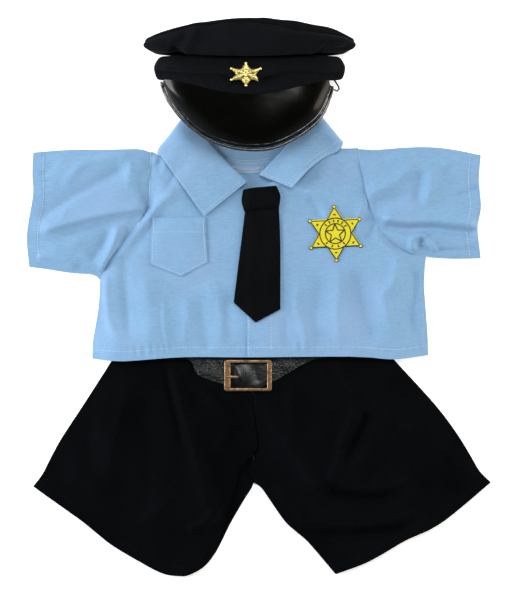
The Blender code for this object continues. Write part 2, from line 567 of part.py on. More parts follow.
def make_collar(cloth, front_height, front_outline):
    """Stand and fall in one piece, folded at the roll and laid round the neck."""
    names = ("nx", "ny", "rx", "ry", "fx", "fy", "turn", "side")
    rows = np.column_stack([COLLAR[name] for name in names])
    rows = smooth_path(rows, 7.5)
    middle = []
    for nx, ny, rx, ry, fx, fy, turn, side in rows:
        over = math.cos(math.radians(turn))         # 1 where the fall is above, -1 where it is behind
        out = np.array([math.copysign(math.sin(math.radians(turn)), side) if side else 0.0, 0, over])
        front_share = ease((over + 1) / 2)
        low = front_height(np.array([nx, ny])) + CLOTH / 2
        neck = np.array([nx, ny, low * front_share + (LAYER + CLOTH / 2 + 0.1) * (1 - front_share)])
        roll = np.array([rx, ry, low * front_share + (CLOTH / 2 + 2 * COLLAR_FOLD) * (1 - front_share)])
        ahead = roll - neck
        ahead[2] = 0
        ahead = ahead / np.linalg.norm(ahead)
        edge_z = front_height(np.array([fx, fy])) + LAYER + CLOTH / 2
        edge = np.array([fx, fy, edge_z * front_share + CLOTH / 2 * (1 - front_share)])
        section = [neck + (roll - neck) * t for t in (0, 0.35, 0.7)]
        for angle in np.radians([0, 36, 72, 108, 144, 180]):
            section.append(roll + COLLAR_FOLD * ((1 - math.cos(angle)) * out + math.sin(angle) * ahead))
        start = section[-1]
        for t in (0.2, 0.4, 0.6, 0.8, 1.0):
            point = start + (edge - start) * t
            if over > 0.5:
                clear = front_height(point[:2]) + LAYER + CLOTH / 2 + 0.15
                if inside(point[:2], front_outline):
                    point[2] = max(point[2], clear)
            section.append(point)
        middle.append(section)
    middle = np.array(middle)
    normals = grid_normals(middle, False)
    swept_wall("collar", middle + normals * CLOTH / 2, middle - normals * CLOTH / 2, cloth, False)


# ---------------------------------------------------------------- cap
def cap_ring(row, inset=0.0):
    """One ring round the cap; the cap's back is flat on the surface."""
    ring = []
    for step in range(CAP_STEPS):
        angle = 2 * math.pi * step / CAP_STEPS
        up = math.sin(angle)
        x = CAP_AXIS_X + (row["half_width"] - inset) * math.cos(angle)
        z = max(inset, row["centre_z"] + (row["half_z"] - inset) * up)
        reach = row["front"] if up > 0 else row["back"]
        y = row["side"] + (reach - row["side"]) * abs(up) ** row.get("power", 3.0)
        ring.append((x, y, z))
    return ring


def cap_rows(rings, power):
    count = len(rings["side"])
    return [{**{name: column[i] for name, column in rings.items()}, "power": power} for i in range(count)]


def dent(ring):
    """The front of the rim is pushed in on one side."""
    bent = []
    for step, (x, y, z) in enumerate(ring):
        away = (360 * step / CAP_STEPS - CAP_DENT["angle"]) / CAP_DENT["width"]
        bent.append((x, y - CAP_DENT["depth"] * math.exp(-away * away), z))
    return bent


def make_cap(cloth, peak_finish, badge_finish, cord_finish):
    band_rows = cap_rows(CAP_BAND, 4.0)
    band = np.array([cap_ring(row) for row in band_rows])
    band_inner = np.array([cap_ring(row, CAP_WALL) for row in band_rows])
    swept_wall("cap_band", band, band_inner, cloth, True)

    side_rows = cap_rows(CAP_SIDE, 2.0)
    side_rows[0]["power"] = 4.0
    side = [cap_ring(row) for row in side_rows]
    side_inner = [cap_ring(row, CAP_WALL) for row in side_rows]
    side[-1], side_inner[-1] = dent(side[-1]), dent(side_inner[-1])
    swept_wall("cap_crown_side", np.array(side), np.array(side_inner), cloth, True)

    make_crown_top(cloth, np.array(side[-1]))
    make_peak(peak_finish, band_rows[0])
    make_cap_star(badge_finish, band_rows[2])
    make_elastic(cord_finish)


def make_crown_top(cloth, rim):
    """A slightly domed disc that closes the crown."""
    centre = rim.mean(0)
    rings = []
    for scale, bulge in zip(CAP_TOP_RINGS["scale"], CAP_TOP_RINGS["bulge"]):
        ring = centre + (rim - centre) * (scale, scale ** 1.5, scale)
        rings.append(ring + (0, SEAM + bulge * 0.8, 0))
    outer = [ring + (0, CAP_WALL, 0) for ring in rings]
    count = len(rim)
    vertices = [tuple(p) for ring in outer + rings for p in ring]
    half = len(outer) * count
    faces = []
    for c in range(count):
        after = (c + 1) % count
        for r in range(len(outer) - 1):
            a, b = r * count + c, r * count + after
            faces.append((a, b, b + count, a + count))
            faces.append((half + b, half + a, half + a + count, half + b + count))
        faces.append((c, after, half + after, half + c))
    for start in (half - count, 2 * half - count):
        hub = len(vertices)
        vertices.append(tuple(np.mean(vertices[start:start + count], axis=0)))
        faces += [(start + c, start + (c + 1) % count, hub) for c in range(count)]
    add_object("cap_crown_top", vertices, faces, cloth)


def make_peak(finish, seam_row):
    """A crescent plate from the front of the band to its rim, and the binding round the rim."""
    across, deep = 25, 8
    rim = resample(smooth_path(np.column_stack([PEAK_RIM[name] for name in "xyz"]), 5), np.linspace(0, 1, across))
    seam = []
    for x in np.linspace(rim[0][0] - CAP_AXIS_X, rim[-1][0] - CAP_AXIS_X, across):
        up = math.sqrt(max(0.0, 1 - (x / seam_row["half_width"]) ** 2))
        y = seam_row["side"] + (seam_row["front"] - seam_row["side"]) * up ** seam_row["power"]
        seam.append((CAP_AXIS_X + x, y - SEAM, seam_row["centre_z"] + seam_row["half_z"] * up - 0.4))
    seam = np.array(seam)
    seam[0], seam[-1] = rim[0] + (1.2, 0.6, 0.6), rim[-1] + (-1.2, 0.4, 0.6)
    grid = np.array([seam * (1 - depth) + rim * depth for depth in np.linspace(0, 1, deep)])
    bulge = np.sin(np.linspace(0, math.pi, deep))[:, None] * np.sin(np.linspace(0, math.pi, across))
    grid[:, :, 2] += PEAK_CROWN * bulge
    swept_wall("cap_peak", grid, grid - (0, 0, PEAK_THICKNESS), finish, False)

    route = rim - (0, 0, PEAK_THICKNESS / 2)
    run = np.gradient(route, axis=0)
    outward = np.column_stack([run[:, 1], -run[:, 0], 0 * run[:, 0]])
    outward /= np.linalg.norm(outward, axis=1, keepdims=True)
    if outward[across // 2][1] > 0:
        outward = -outward
    tube("peak_binding", route + outward * (BINDING_RADIUS + SEAM), BINDING_RADIUS, finish, 3)


def tube(name, points, radius, finish, resolution):
    """A round cord along the points, with closed ends."""
    line = bpy.data.curves.new(name, "CURVE")
    line.dimensions = "3D"
    line.bevel_depth = radius * UNIT
    line.bevel_resolution = resolution
    line.use_fill_caps = True
    spline = line.splines.new("POLY")
    spline.points.add(len(points) - 1)
    for target, point in zip(spline.points, points):
        target.co = (*(Vector(point) * UNIT), 1)
    line.materials.append(finish)
    made = bpy.data.objects.new(name, line)
    bpy.context.collection.objects.link(made)
    return made


def make_cap_star(finish, row):
    """A thin pressed star that follows the front of the band."""
    flat = star_outline(CAP_STAR, CAP_STAR_TIP, CAP_STAR_HOLLOW)
    flat[:, 1] = CAP_STAR["y"] + (flat[:, 1] - CAP_STAR["y"]) * CAP_STAR_HEIGHT
    points = np.vstack([flat, [(CAP_STAR["x"], CAP_STAR["y"])]])
    base = row["centre_z"] + row["half_z"] + CAP_STAR["lift"]
    under = [(x, y, base) for x, y in points]
    over = [(x, y, base + CLOTH) for x, y in points]
    count, hub = len(points), len(points) - 1
    faces = []
    for c in range(hub):
        after = (c + 1) % hub
        faces += [(c, after, hub), (count + c, count + after, count + hub), (c, after, count + after, count + c)]
    add_object("cap_star", under + over, faces, finish, 35)


def make_elastic(finish):
    route = np.column_stack([ELASTIC[name] for name in "xyz"])
    tube("chin_elastic", smooth_path(route, 3.0), ELASTIC_RADIUS, finish, 2)


# ---------------------------------------------------------------- the whole uniform
def centre_on_origin():
    """The origin is the middle of the footprint, on the surface."""
    bpy.context.view_layer.update()
    graph = bpy.context.evaluated_depsgraph_get()
    corners = []
    for item in bpy.data.objects:
        shape = item.evaluated_get(graph).to_mesh()
        corners += [tuple(v.co) for v in shape.vertices]
    corners = np.array(corners)
    low, high = corners.min(0), corners.max(0)
    shift = Vector((-(low[0] + high[0]) / 2, -(low[1] + high[1]) / 2, -low[2]))
    for item in bpy.data.objects:
        if item.type == "CURVE":
            for point in item.data.splines[0].points:
                point.co = (*(point.co.xyz + shift), 1)
        else:
            item.data.transform(Matrix.Translation(shift))


def main():
    for item in list(bpy.data.objects):
        bpy.data.objects.remove(item, do_unlink=True)
    blue = material("shirt_cotton", (0.27, 0.43, 0.63), 0.85)
    black = material("shorts_twill", (0.006, 0.007, 0.009), 0.9)
    tie = material("tie_satin", (0.004, 0.005, 0.006), 0.7)
    cap = material("cap_twill", (0.012, 0.013, 0.015), 0.85)
    vinyl = material("belt_vinyl", (0.02, 0.022, 0.024), 0.35)
    glossy = material("peak_vinyl", (0.004, 0.004, 0.004), 0.12)
    brass = material("buckle_brass", (0.5, 0.38, 0.2), 0.25, 1.0)
    gold = material("badge_gold", (0.85, 0.65, 0.2), 0.3, 1.0)
    yellow = material("star_print", (0.75, 0.62, 0.01), 0.6)
    elastic = material("elastic_black", (0.01, 0.01, 0.01), 0.7)
    shorts_outline = make_shorts(black, vinyl, brass)
    make_shirt(blue, tie, yellow, shorts_outline)
    make_cap(cap, glossy, gold, elastic)
    centre_on_origin()


main()
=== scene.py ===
# A toy bear's police uniform laid out flat: pale blue shirt with its tie, black shorts with a belt, and
# a peaked cap.
import math

import bmesh
import bpy
import numpy as np
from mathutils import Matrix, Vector
from mathutils.bvhtree import BVHTree
from mathutils.geometry import delaunay_2d_cdt


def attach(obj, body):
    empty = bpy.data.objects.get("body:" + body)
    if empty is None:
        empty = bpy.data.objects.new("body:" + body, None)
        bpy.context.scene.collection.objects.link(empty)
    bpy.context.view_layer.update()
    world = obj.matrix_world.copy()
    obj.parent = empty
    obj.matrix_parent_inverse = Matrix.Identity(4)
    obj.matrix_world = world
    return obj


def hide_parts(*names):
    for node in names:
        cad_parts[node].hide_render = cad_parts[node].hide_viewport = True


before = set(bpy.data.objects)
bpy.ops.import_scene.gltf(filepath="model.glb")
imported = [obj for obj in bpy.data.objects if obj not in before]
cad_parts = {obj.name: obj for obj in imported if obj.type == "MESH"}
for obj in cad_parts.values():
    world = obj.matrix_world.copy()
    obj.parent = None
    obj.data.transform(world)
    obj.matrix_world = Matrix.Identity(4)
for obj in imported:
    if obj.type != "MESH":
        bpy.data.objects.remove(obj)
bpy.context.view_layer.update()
mm = 0.001  # lengths below are in millimetres and become metres when a mesh is made


def smoothPath(points, step):
    points = np.asarray(points, float)
    ends = np.vstack([2 * points[0] - points[1], points, 2 * points[-1] - points[-2]])
    path = []
    for i in range(1, len(ends) - 2):
        p, q, r, s = ends[i - 1:i + 3]
        pieces = max(1, round(np.linalg.norm((r - q)[:2]) / step))
        for t in np.arange(pieces) / pieces:
            path.append(0.5 * (2 * q + (r - p) * t + (2 * p - 5 * q + 4 * r - s) * t * t
                               + (3 * q - p - 3 * r + s) * t ** 3))
    path.append(points[-1])
    return np.array(path)


def pathShares(path):
    steps = np.concatenate([[0], np.cumsum(np.linalg.norm(np.diff(path, axis=0), axis=1))])
    return steps / steps[-1]


def resample(path, shares):
    places = pathShares(path)
    return np.column_stack([np.interp(shares, places, path[:, k]) for k in range(path.shape[1])])


def pathLength(path):
    return float(np.linalg.norm(np.diff(path, axis=0), axis=1).sum())


def nearPath(points, path):
    # for each point: its distance to the path, how far along the path that is, and on which side (+1 left)
    start, run = path[:-1, :2], np.diff(path[:, :2], axis=0)
    shares = pathShares(path[:, :2])
    best = np.full(len(points), 1e9)
    along, side = np.zeros(len(points)), np.ones(len(points))
    for k in range(len(start)):
        away = points[:, :2] - start[k]
        t = np.clip(away @ run[k] / max(run[k] @ run[k], 1e-9), 0, 1)
        gap = away - t[:, None] * run[k]
        d = np.hypot(gap[:, 0], gap[:, 1])
        closer = d < best
        best = np.where(closer, d, best)
        along = np.where(closer, shares[k] + t * (shares[k + 1] - shares[k]), along)
        turn = run[k][0] * away[:, 1] - run[k][1] * away[:, 0]
        side = np.where(closer, np.sign(turn + 1e-12), side)
    return best, along, side


def fromEdge(points, outline):
    return nearPath(points, np.vstack([outline, outline[:1]]))[0]


def insideOutline(points, outline):
    x, y = points[:, 0], points[:, 1]
    odd = np.zeros(len(points), bool)
    for (x0, y0), (x1, y1) in zip(outline, np.roll(outline, -1, axis=0)):
        if y0 != y1:
            odd ^= ((y0 > y) != (y1 > y)) & (x < x0 + (y - y0) * (x1 - x0) / (y1 - y0))
    return odd


def ease(value):
    value = np.clip(value, 0.0, 1.0)
    return value * value * (3 - 2 * value)


def creaseField(points, creases):
    # each crease: its path, its rise (a trough is negative), its widths to the left and right, its fades at
    # both ends
    height = np.zeros(len(points))
    for path, rise, left, right, fadeIn, fadeOut in creases:
        d, t, side = nearPath(points, smoothPath(path, 3.0))
        width = np.where(side > 0, left, right)
        ends = ease(t / max(fadeIn, 1e-6)) * ease((1 - t) / max(fadeOut, 1e-6))
        height += rise * ends * np.exp(-(np.hypot(d, 0.8) / width) ** 1.45)
    return height


def ripples(points, seed, size, depth):
    # broad uneven rumpling: a few sine waves in set directions
    made = np.zeros(len(points))
    draw = np.random.default_rng(seed)
    for k in range(7):
        angle, phase, scale = draw.uniform(0, math.pi), draw.uniform(0, 6.28), size * draw.uniform(0.6, 1.7)
        along = points[:, 0] * math.cos(angle) + points[:, 1] * math.sin(angle)
        made += np.sin(along * 6.28 / scale + phase)
    return made * depth / 7 ** 0.5


def nodeMesh(name):
    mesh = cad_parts[name].data
    mesh.calc_loop_triangles()
    points = np.array([v.co[:] for v in mesh.vertices]) / mm
    triangles = np.array([t.vertices[:] for t in mesh.loop_triangles])
    _, first, same = np.unique(np.round(points, 3), axis=0, return_index=True, return_inverse=True)
    return points[first], same.reshape(-1)[triangles]


def upperSide(name):
    points, triangles = nodeMesh(name)
    a, b, c = (points[triangles[:, k]] for k in range(3))
    normal = np.cross(b - a, c - a)
    normal /= np.maximum(np.linalg.norm(normal, axis=1, keepdims=True), 1e-9)
    return points, triangles[normal[:, 2] > 0.35]


def nodeOutline(name):
    # the edge of a panel seen from above, anticlockwise
    points, upper = upperSide(name)
    follows = {}
    edges = {(t[k], t[(k + 1) % 3]) for t in upper for k in range(3)}
    for a, b in sorted(edges):
        if (b, a) not in edges:
            follows[a] = b
    loops = []
    while follows:
        start = next(iter(follows))
        loop, at = [start], follows.pop(start)
        while at != start and at in follows:
            loop.append(at)
            at = follows.pop(at)
        loops.append(loop)
    return points[max(loops, key=len)][:, :2]


def fineOutline(outline, step, corner=34):
    # rounds the frame's straight runs and keeps its corners
    back, ahead = outline - np.roll(outline, 1, axis=0), np.roll(outline, -1, axis=0) - outline
    turn = np.degrees(np.abs(np.angle(np.exp(1j * (np.arctan2(ahead[:, 1], ahead[:, 0])
                                                   - np.arctan2(back[:, 1], back[:, 0]))))))
    corners = [k for k in range(len(outline)) if turn[k] > corner]
    if not corners:
        return smoothPath(np.vstack([outline, outline[:1]]), step)[:-1]
    made = []
    for a, b in zip(corners, corners[1:] + [corners[0] + len(outline)]):
        run = outline[np.arange(a, b + 1) % len(outline)]
        made.append(smoothPath(run, step)[:-1])
    return np.vstack(made)


class Surface:
    # an upper side to read heights from: of nodes of the frame, or of cloth made before (points, triangles)
    def __init__(self, *sides):
        points, faces = [], []
        for side in sides:
            p, t = upperSide(side) if isinstance(side, str) else side
            faces += [tuple(int(v) + len(points) for v in row) for row in t]
            points += [tuple(v) for v in p]
        self.tree = BVHTree.FromPolygons(points, faces)

    def heights(self, points):
        made = []
        for x, y in points[:, :2]:
            hit = self.tree.ray_cast(Vector((x, y, 500)), Vector((0, 0, -1)))[0]
            if hit is None:
                hit = self.tree.find_nearest(Vector((x, y, 3)))[0]
            made.append(hit.z)
        return np.array(made)


def triangulated(outline, step):
    # a net of triangles inside an outline, fine enough to carry creases
    points = [tuple(p) for p in outline]
    edges = [(i, (i + 1) % len(points)) for i in range(len(points))]
    low, high = outline.min(0), outline.max(0)
    rowStep = step * 0.866
    across, up = np.meshgrid(np.arange(low[0], high[0], step), np.arange(low[1], high[1], rowStep))
    across = across + (np.arange(up.shape[0]) % 2)[:, None] * step / 2
    inner = np.column_stack([across.ravel(), up.ravel()])
    inner = inner[insideOutline(inner, outline)]
    inner = inner[fromEdge(inner, outline) > 0.55 * step]
    points += [tuple(p) for p in inner]
    made = delaunay_2d_cdt([Vector(p) for p in points], edges, [], 0, 1e-4)
    flat, triangles = np.array([v[:] for v in made[0]]), np.array(made[2])
    return flat, triangles[insideOutline(flat[triangles].mean(1), outline)]


def smoothed(values, triangles, rounds):
    a = np.concatenate([triangles[:, 0], triangles[:, 1], triangles[:, 2]])
    b = np.concatenate([triangles[:, 1], triangles[:, 2], triangles[:, 0]])
    a, b = np.concatenate([a, b]), np.concatenate([b, a])
    count = np.maximum(np.bincount(a, minlength=len(values)), 1)
    for _ in range(rounds):
        mean = np.bincount(a, weights=values[b], minlength=len(values)) / count
        values = 0.4 * values + 0.6 * mean
    return values


def addMesh(name, points, faces, finish, node=None, sharp=60):
    mesh = bpy.data.meshes.new(name)
    mesh.from_pydata([Vector(p) * mm for p in points], [], [tuple(int(v) for v in f) for f in faces])
    shape = bmesh.new()
    shape.from_mesh(mesh)
    bmesh.ops.recalc_face_normals(shape, faces=shape.faces)
    shape.to_mesh(mesh)
    shape.free()
    mesh.shade_smooth()
    mesh.set_sharp_from_angle(angle=math.radians(sharp))
    mesh.materials.append(finish)
    piece = bpy.data.objects.new(name, mesh)
    bpy.context.scene.collection.objects.link(piece)
    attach(piece, "root")
    if node:
        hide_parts(*([node] if isinstance(node, str) else node))
    return piece


def wallFaces(triangles, count):
    # the upper side, the lower side and the strip that joins their edges
    faces = [tuple(t) for t in triangles]
    faces += [tuple(int(v) + count for v in reversed(t)) for t in triangles]
    edges = {(int(t[k]), int(t[(k + 1) % 3])) for t in triangles for k in range(3)}
    faces += [(b, a, a + count, b + count) for a, b in sorted(edges) if (b, a) not in edges]
    return faces


def addCloth(name, flat, top, triangles, wall, finish, node=None, bottom=None):
    used = np.unique(triangles)
    place = np.zeros(len(flat), int)
    place[used] = np.arange(len(used))
    flat, top, triangles = flat[used], top[used], place[triangles]
    under = top - wall if bottom is None else bottom[used]
    points = np.vstack([np.column_stack([flat, top]), np.column_stack([flat, under])])
    return addMesh(name, points, wallFaces(triangles, len(flat)), finish, node)


def gridWall(name, outer, inner, finish, closed, node=None, sharp=60):
    # a wall between two grids of points, with its rims; a closed one joins its last column to its first
    rows, count = outer.shape[:2]
    points = np.vstack([outer.reshape(-1, 3), inner.reshape(-1, 3)])
    half, faces = rows * count, []
    for r in range(rows):
        for c in range(count if closed else count - 1):
            a, b = r * count + c, r * count + (c + 1) % count
            if r < rows - 1:
                faces.append((a, b, b + count, a + count))
                faces.append((half + b, half + a, half + a + count, half + b + count))
            if r in (0, rows - 1):
                faces.append((a, b, half + b, half + a) if r else (b, a, half + a, half + b))
        if not closed and r < rows - 1:
            for c in (0, count - 1):
                a = r * count + c
                faces.append((a, a + count, half + a + count, half + a))
    return addMesh(name, points, faces, finish, node, sharp)


def gridNormals(grid, closed=False):
    along = np.gradient(grid, axis=0)
    if closed:
        across = (np.roll(grid, -1, axis=1) - np.roll(grid, 1, axis=1)) / 2
    else:
        across = np.gradient(grid, axis=1)
    normal = np.cross(along, across)
    return normal / np.maximum(np.linalg.norm(normal, axis=2, keepdims=True), 1e-9)


def gridSpan(grid, axis, closed=False):
    # the longest way over a grid of points, in metres
    steps = np.roll(grid, -1, axis=axis) - grid if closed else np.diff(grid, axis=axis)
    return max(np.linalg.norm(steps, axis=2).sum(axis)) / 1000


def declareSheet(piece, cut=None):
    if cut is None:
        corners = np.array([v.co[:2] for v in piece.data.vertices])
        cut = (corners.max(0) - corners.min(0)) * 1.01


def bars(name, centres, directions, size, finish, slot=None, ups=None):
    # many small six-sided rods, such as stitches, as one mesh; size is (length, width, height)
    length, width, height = size
    points, faces = [], []
    profile = [(math.cos(a) * width / 2, math.sin(a) * height / 2) for a in np.arange(6) * math.pi / 3]
    for k, (centre, ahead) in enumerate(zip(centres, directions)):
        ahead = np.asarray(ahead, float) / np.linalg.norm(ahead)
        up = np.array([0, 0, 1.0]) if ups is None else np.asarray(ups[k], float)
        across = np.cross(up, ahead)
        across /= np.linalg.norm(across)
        up = np.cross(ahead, across)
        first = len(points)
        for share, thick in ((-0.5, 0.45), (-0.32, 1.0), (0.32, 1.0), (0.5, 0.45)):
            ring = np.asarray(centre) + ahead * length * share
            points += [ring + (across * u + up * v) * thick for u, v in profile]
        for ring in range(3):
            for c in range(6):
                a, b = first + ring * 6 + c, first + ring * 6 + (c + 1) % 6
                faces.append((a, b, b + 6, a + 6))
        faces += [tuple(range(first + 5, first - 1, -1)), tuple(range(first + 18, first + 24))]
    return addMesh(name, points, faces, finish)


def stitchesAlong(paths, heightAt, pitch, share=0.62, lift=0.12, jitter=0.12, seed=3):
    # centres and directions of the stitches on some lines over a surface
    centres, directions = [], []
    draw = np.random.default_rng(seed)
    for path in paths:
        count = max(2, round(pathLength(path) / pitch))
        places = resample(path, np.linspace(0, 1, count * 2 + 1))
        places += draw.normal(0, jitter, places.shape) * 0.4
        height = heightAt(places)
        line = np.column_stack([places[:, :2], height + lift])
        for k in range(1, len(line) - 1, 2):
            centres.append(line[k])
            directions.append(line[k + 1] - line[k - 1])
    return np.array(centres), np.array(directions), (pitch * share, 0.42, 0.34)


def ribbon(points, width, thick=0.1):
    # a flat strip with a closed cross-section along a line of 3-D points
    points = np.asarray(points, float)
    run = np.gradient(points, axis=0)
    across = np.column_stack([-run[:, 1], run[:, 0], 0 * run[:, 0]])
    across /= np.maximum(np.linalg.norm(across, axis=1, keepdims=True), 1e-9)
    up = np.array([0, 0, thick])
    rings = np.stack([points - across * width / 2, points + across * width / 2,
                      points + across * width / 2 * 0.8 + up, points - across * width / 2 * 0.8 + up], axis=1)
    corners, faces = rings.reshape(-1, 3), []
    for r in range(len(points) - 1):
        for c in range(4):
            a, b = r * 4 + c, r * 4 + (c + 1) % 4
            faces.append((a, b, b + 4, a + 4))
    last = 4 * (len(points) - 1)
    faces += [(3, 2, 1, 0), (last, last + 1, last + 2, last + 3)]
    return corners, faces


def joinShapes(shapes):
    points, faces = [], []
    for corners, sides in shapes:
        faces += [tuple(v + len(points) for v in side) for side in sides]
        points += [tuple(p) for p in corners]
    return points, faces


def tubeFaces(rings, count):
    # the two ends and the wall of a tube of rings with the same number of points
    faces = [tuple(range(count - 1, -1, -1)), tuple(range((rings - 1) * count, rings * count))]
    for r in range(rings - 1):
        for c in range(count):
            a, b = r * count + c, r * count + (c + 1) % count
            faces.append((a, b, b + count, a + count))
    return faces


def ringLine(x, y, radius, steps):
    angles = np.radians(np.linspace(0, 360, steps))
    return np.column_stack([x + radius * np.cos(angles), y + radius * np.sin(angles)])


def starLine(x, y, tip, hollow, tips, turn=0.0, squash=1.0, wide=1.0):
    angles = math.radians(90 - turn) + np.arange(2 * tips + 1) * math.pi / tips
    radius = np.array([tip, hollow] * tips + [tip])
    return np.column_stack([x + radius * np.cos(angles) * wide, y + radius * np.sin(angles) * squash])


class Wire:
    # an output of a node, on which Python's operators add Math nodes
    def __init__(self, finish, socket):
        self.finish, self.socket = finish, socket

    def maths(self, other, operation, flip=False):
        pair = (other, self) if flip else (self, other)
        return self.finish.add("Math", {"operation": operation}, {0: pair[0], 1: pair[1]})

    def __add__(self, other):
        return self.maths(other, "ADD")

    def __radd__(self, other):
        return self.maths(other, "ADD", True)

    def __sub__(self, other):
        return self.maths(other, "SUBTRACT")

    def __rsub__(self, other):
        return self.maths(other, "SUBTRACT", True)

    def __mul__(self, other):
        return self.maths(other, "MULTIPLY")

    def __rmul__(self, other):
        return self.maths(other, "MULTIPLY", True)

    def __lt__(self, other):
        return self.maths(other, "LESS_THAN")

    def __gt__(self, other):
        return self.maths(other, "GREATER_THAN")


class Finish:
    # a material, made node by node on its Principled shader
    def __init__(self, name, **fixed):
        self.material = bpy.data.materials.new(name)
        self.material.use_nodes = True
        self.tree = self.material.node_tree
        self.shader = self.tree.nodes["Principled BSDF"]
        for socket, value in fixed.items():
            self.feed(self.shader.inputs[socket.replace("_", " ")], value)

    def feed(self, socket, value):
        if isinstance(value, Wire):
            self.tree.links.new(value.socket, socket)
        elif hasattr(value, "__len__") and socket.type == "RGBA":
            socket.default_value = (*value, 1) if len(value) == 3 else value
        else:
            socket.default_value = value

    def add(self, kind, settings=None, sockets=None, out=0):
        node = self.tree.nodes.new("ShaderNode" + kind)
        for key, value in (settings or {}).items():
            setattr(node, key, value)
        for key, value in (sockets or {}).items():
            self.feed(node.inputs[key], value)
        return Wire(self, node.outputs[out])

    def place(self, scale):
        # object coordinates in millimetres, stretched by a scale for each axis
        spot = self.add("TexCoord", out=3)
        return self.add("Mapping", sockets={"Vector": spot, "Scale": [s / mm for s in scale]})

    def noise(self, scale, detail=3.0, rough=0.55):
        return self.add("TexNoise", {"noise_dimensions": "3D"},
                        {"Vector": self.place(scale), "Scale": 1.0, "Detail": detail, "Roughness": rough})

    def waves(self, axis, perMm):
        oneWave = 0.314  # the node's scale for one wave in a millimetre
        return self.add("TexWave", {"bands_direction": axis, "wave_profile": "SIN"},
                        {"Vector": self.place((1, 1, 1)), "Scale": perMm * oneWave, "Distortion": 0.0,
                         "Detail": 1.0}, out=1)

    def blend(self, share, first, second):
        return self.add("Mix", {"data_type": "RGBA"}, {0: share, 6: first, 7: second}, out=2)

    def bump(self, height, distance, strength=1.0, below=None):
        sockets = {"Height": height, "Distance": distance * mm, "Strength": strength}
        if below is not None:
            sockets["Normal"] = below
        return self.add("Bump", sockets=sockets)

    def set(self, socket, value):
        self.feed(self.shader.inputs[socket], value)


def remap(wire, low, high, fromLow=0.0, fromHigh=1.0):
    return wire.finish.add("MapRange", sockets={0: wire, 1: fromLow, 2: fromHigh, 3: low, 4: high})


cotton = {"pale": (0.255, 0.425, 0.585), "deep": (0.115, 0.245, 0.45), "violet": (0.255, 0.345, 0.56),
          "weave": 1.1}


def cottonFinish():
    # end-on-end cotton: pale weft lines over blue, slightly uneven
    f = Finish("shirtCotton", Roughness=0.88, Sheen_Weight=0.12, Sheen_Roughness=0.5, Specular_IOR_Level=0.2)
    slubs = f.noise((0.16, 1.9, 1.0), 2.0, 0.6)
    warp = f.noise((1.5, 0.12, 1.0), 2.0, 0.6)
    clouds = f.noise((0.02, 0.024, 0.02), 2.0, 0.5)
    grain = f.noise((1.1, 1.1, 1.1), 2.0, 0.7)
    share = remap(slubs, 0.15, 0.85, 0.3, 0.7) * 0.5 + remap(warp, 0.3, 0.7, 0.3, 0.7) * 0.3 + grain * 0.2
    body = f.blend(share, cotton["deep"], cotton["pale"])
    f.set("Base Color", f.blend(remap(clouds, 0.0, 0.34, 0.45, 0.75), body, cotton["violet"]))
    threads = f.waves("Y", cotton["weave"]) * 0.5 + f.waves("X", cotton["weave"]) * 0.5
    rumple = f.noise((0.09, 0.13, 0.1), 3.0, 0.6)
    f.set("Normal", f.bump(slubs + threads * 0.3, 0.12, 0.5, f.bump(rumple, 0.7, 0.35)))
    return f.material


def threadFinish():
    f = Finish("shirtThread", Roughness=0.6, Sheen_Weight=0.2)
    twist = f.noise((2.0, 2.0, 2.0), 1.0)
    f.set("Base Color", f.blend(twist, (0.36, 0.50, 0.66), (0.48, 0.60, 0.74)))
    return f.material


def blackClothFinish(name, low, high, twill, rough=0.95, sheen=0.04):
    f = Finish(name, Roughness=rough, Sheen_Weight=sheen, Sheen_Roughness=0.4, Specular_IOR_Level=0.04)
    lint = f.noise((0.7, 0.7, 0.7), 4.0, 0.7)
    clouds = f.noise((0.03, 0.02, 0.03), 2.0)
    share = remap(lint, 0.0, 0.6, 0.35, 0.75) + remap(clouds, 0.0, 0.4, 0.3, 0.7)
    f.set("Base Color", f.blend(share, low, high))
    lines = f.waves("DIAGONAL", twill)
    rumple = f.noise((0.07, 0.05, 0.06), 3.0, 0.6)
    f.set("Normal", f.bump(lines + lint, 0.15, 0.6, f.bump(rumple, 1.2, 0.5)))
    return f.material


def vinylFinish():
    # the strap's grained face, worn grey where it bends
    f = Finish("beltVinyl", Specular_IOR_Level=0.42)
    grain = f.add("TexVoronoi", {"feature": "F1"}, {"Vector": f.place((0.9, 0.9, 0.9)), "Scale": 1.0})
    worn = remap(f.noise((0.12, 0.12, 0.12), 5.0, 0.65), 0.0, 1.0, 0.45, 0.7)
    f.set("Base Color", f.blend(worn, (0.0012, 0.0015, 0.0017), (0.010, 0.0125, 0.014)))
    f.set("Roughness", 0.3 - worn * 0.12 + grain * 0.1)
    folds = f.noise((0.16, 0.3, 0.2), 3.0, 0.6)
    across = f.add("SeparateXYZ", sockets={"Vector": f.place((1, 1, 1))})
    # the tongue's end is smooth where the frame holds it
    calm = (across > -22.0) * (across < 7.0)
    bent = f.bump(folds * (1 - calm * 0.85), 1.6, 0.8)
    f.set("Normal", f.bump(grain * (1 - calm * 0.8), 0.35, 0.7, bent))
    return f.material


def peakFinish():
    f = Finish("peakGloss", Roughness=0.14, Coat_Weight=0.04, Coat_Roughness=0.06, Specular_IOR_Level=0.1)
    smears = f.noise((0.03, 0.05, 0.03), 3.0, 0.5)
    dust = f.noise((1.4, 1.4, 1.4), 2.0, 0.8)
    specks = remap(dust, 0.0, 1.0, 0.66, 0.78)
    f.set("Base Color", f.blend(specks, (0.0014, 0.0014, 0.0011), (0.02, 0.02, 0.015)))
    f.set("Roughness", remap(smears, 0.12, 0.24, 0.3, 0.7) + specks * 0.3)
    f.set("Normal", f.bump(smears, 0.5, 0.25))
    return f.material


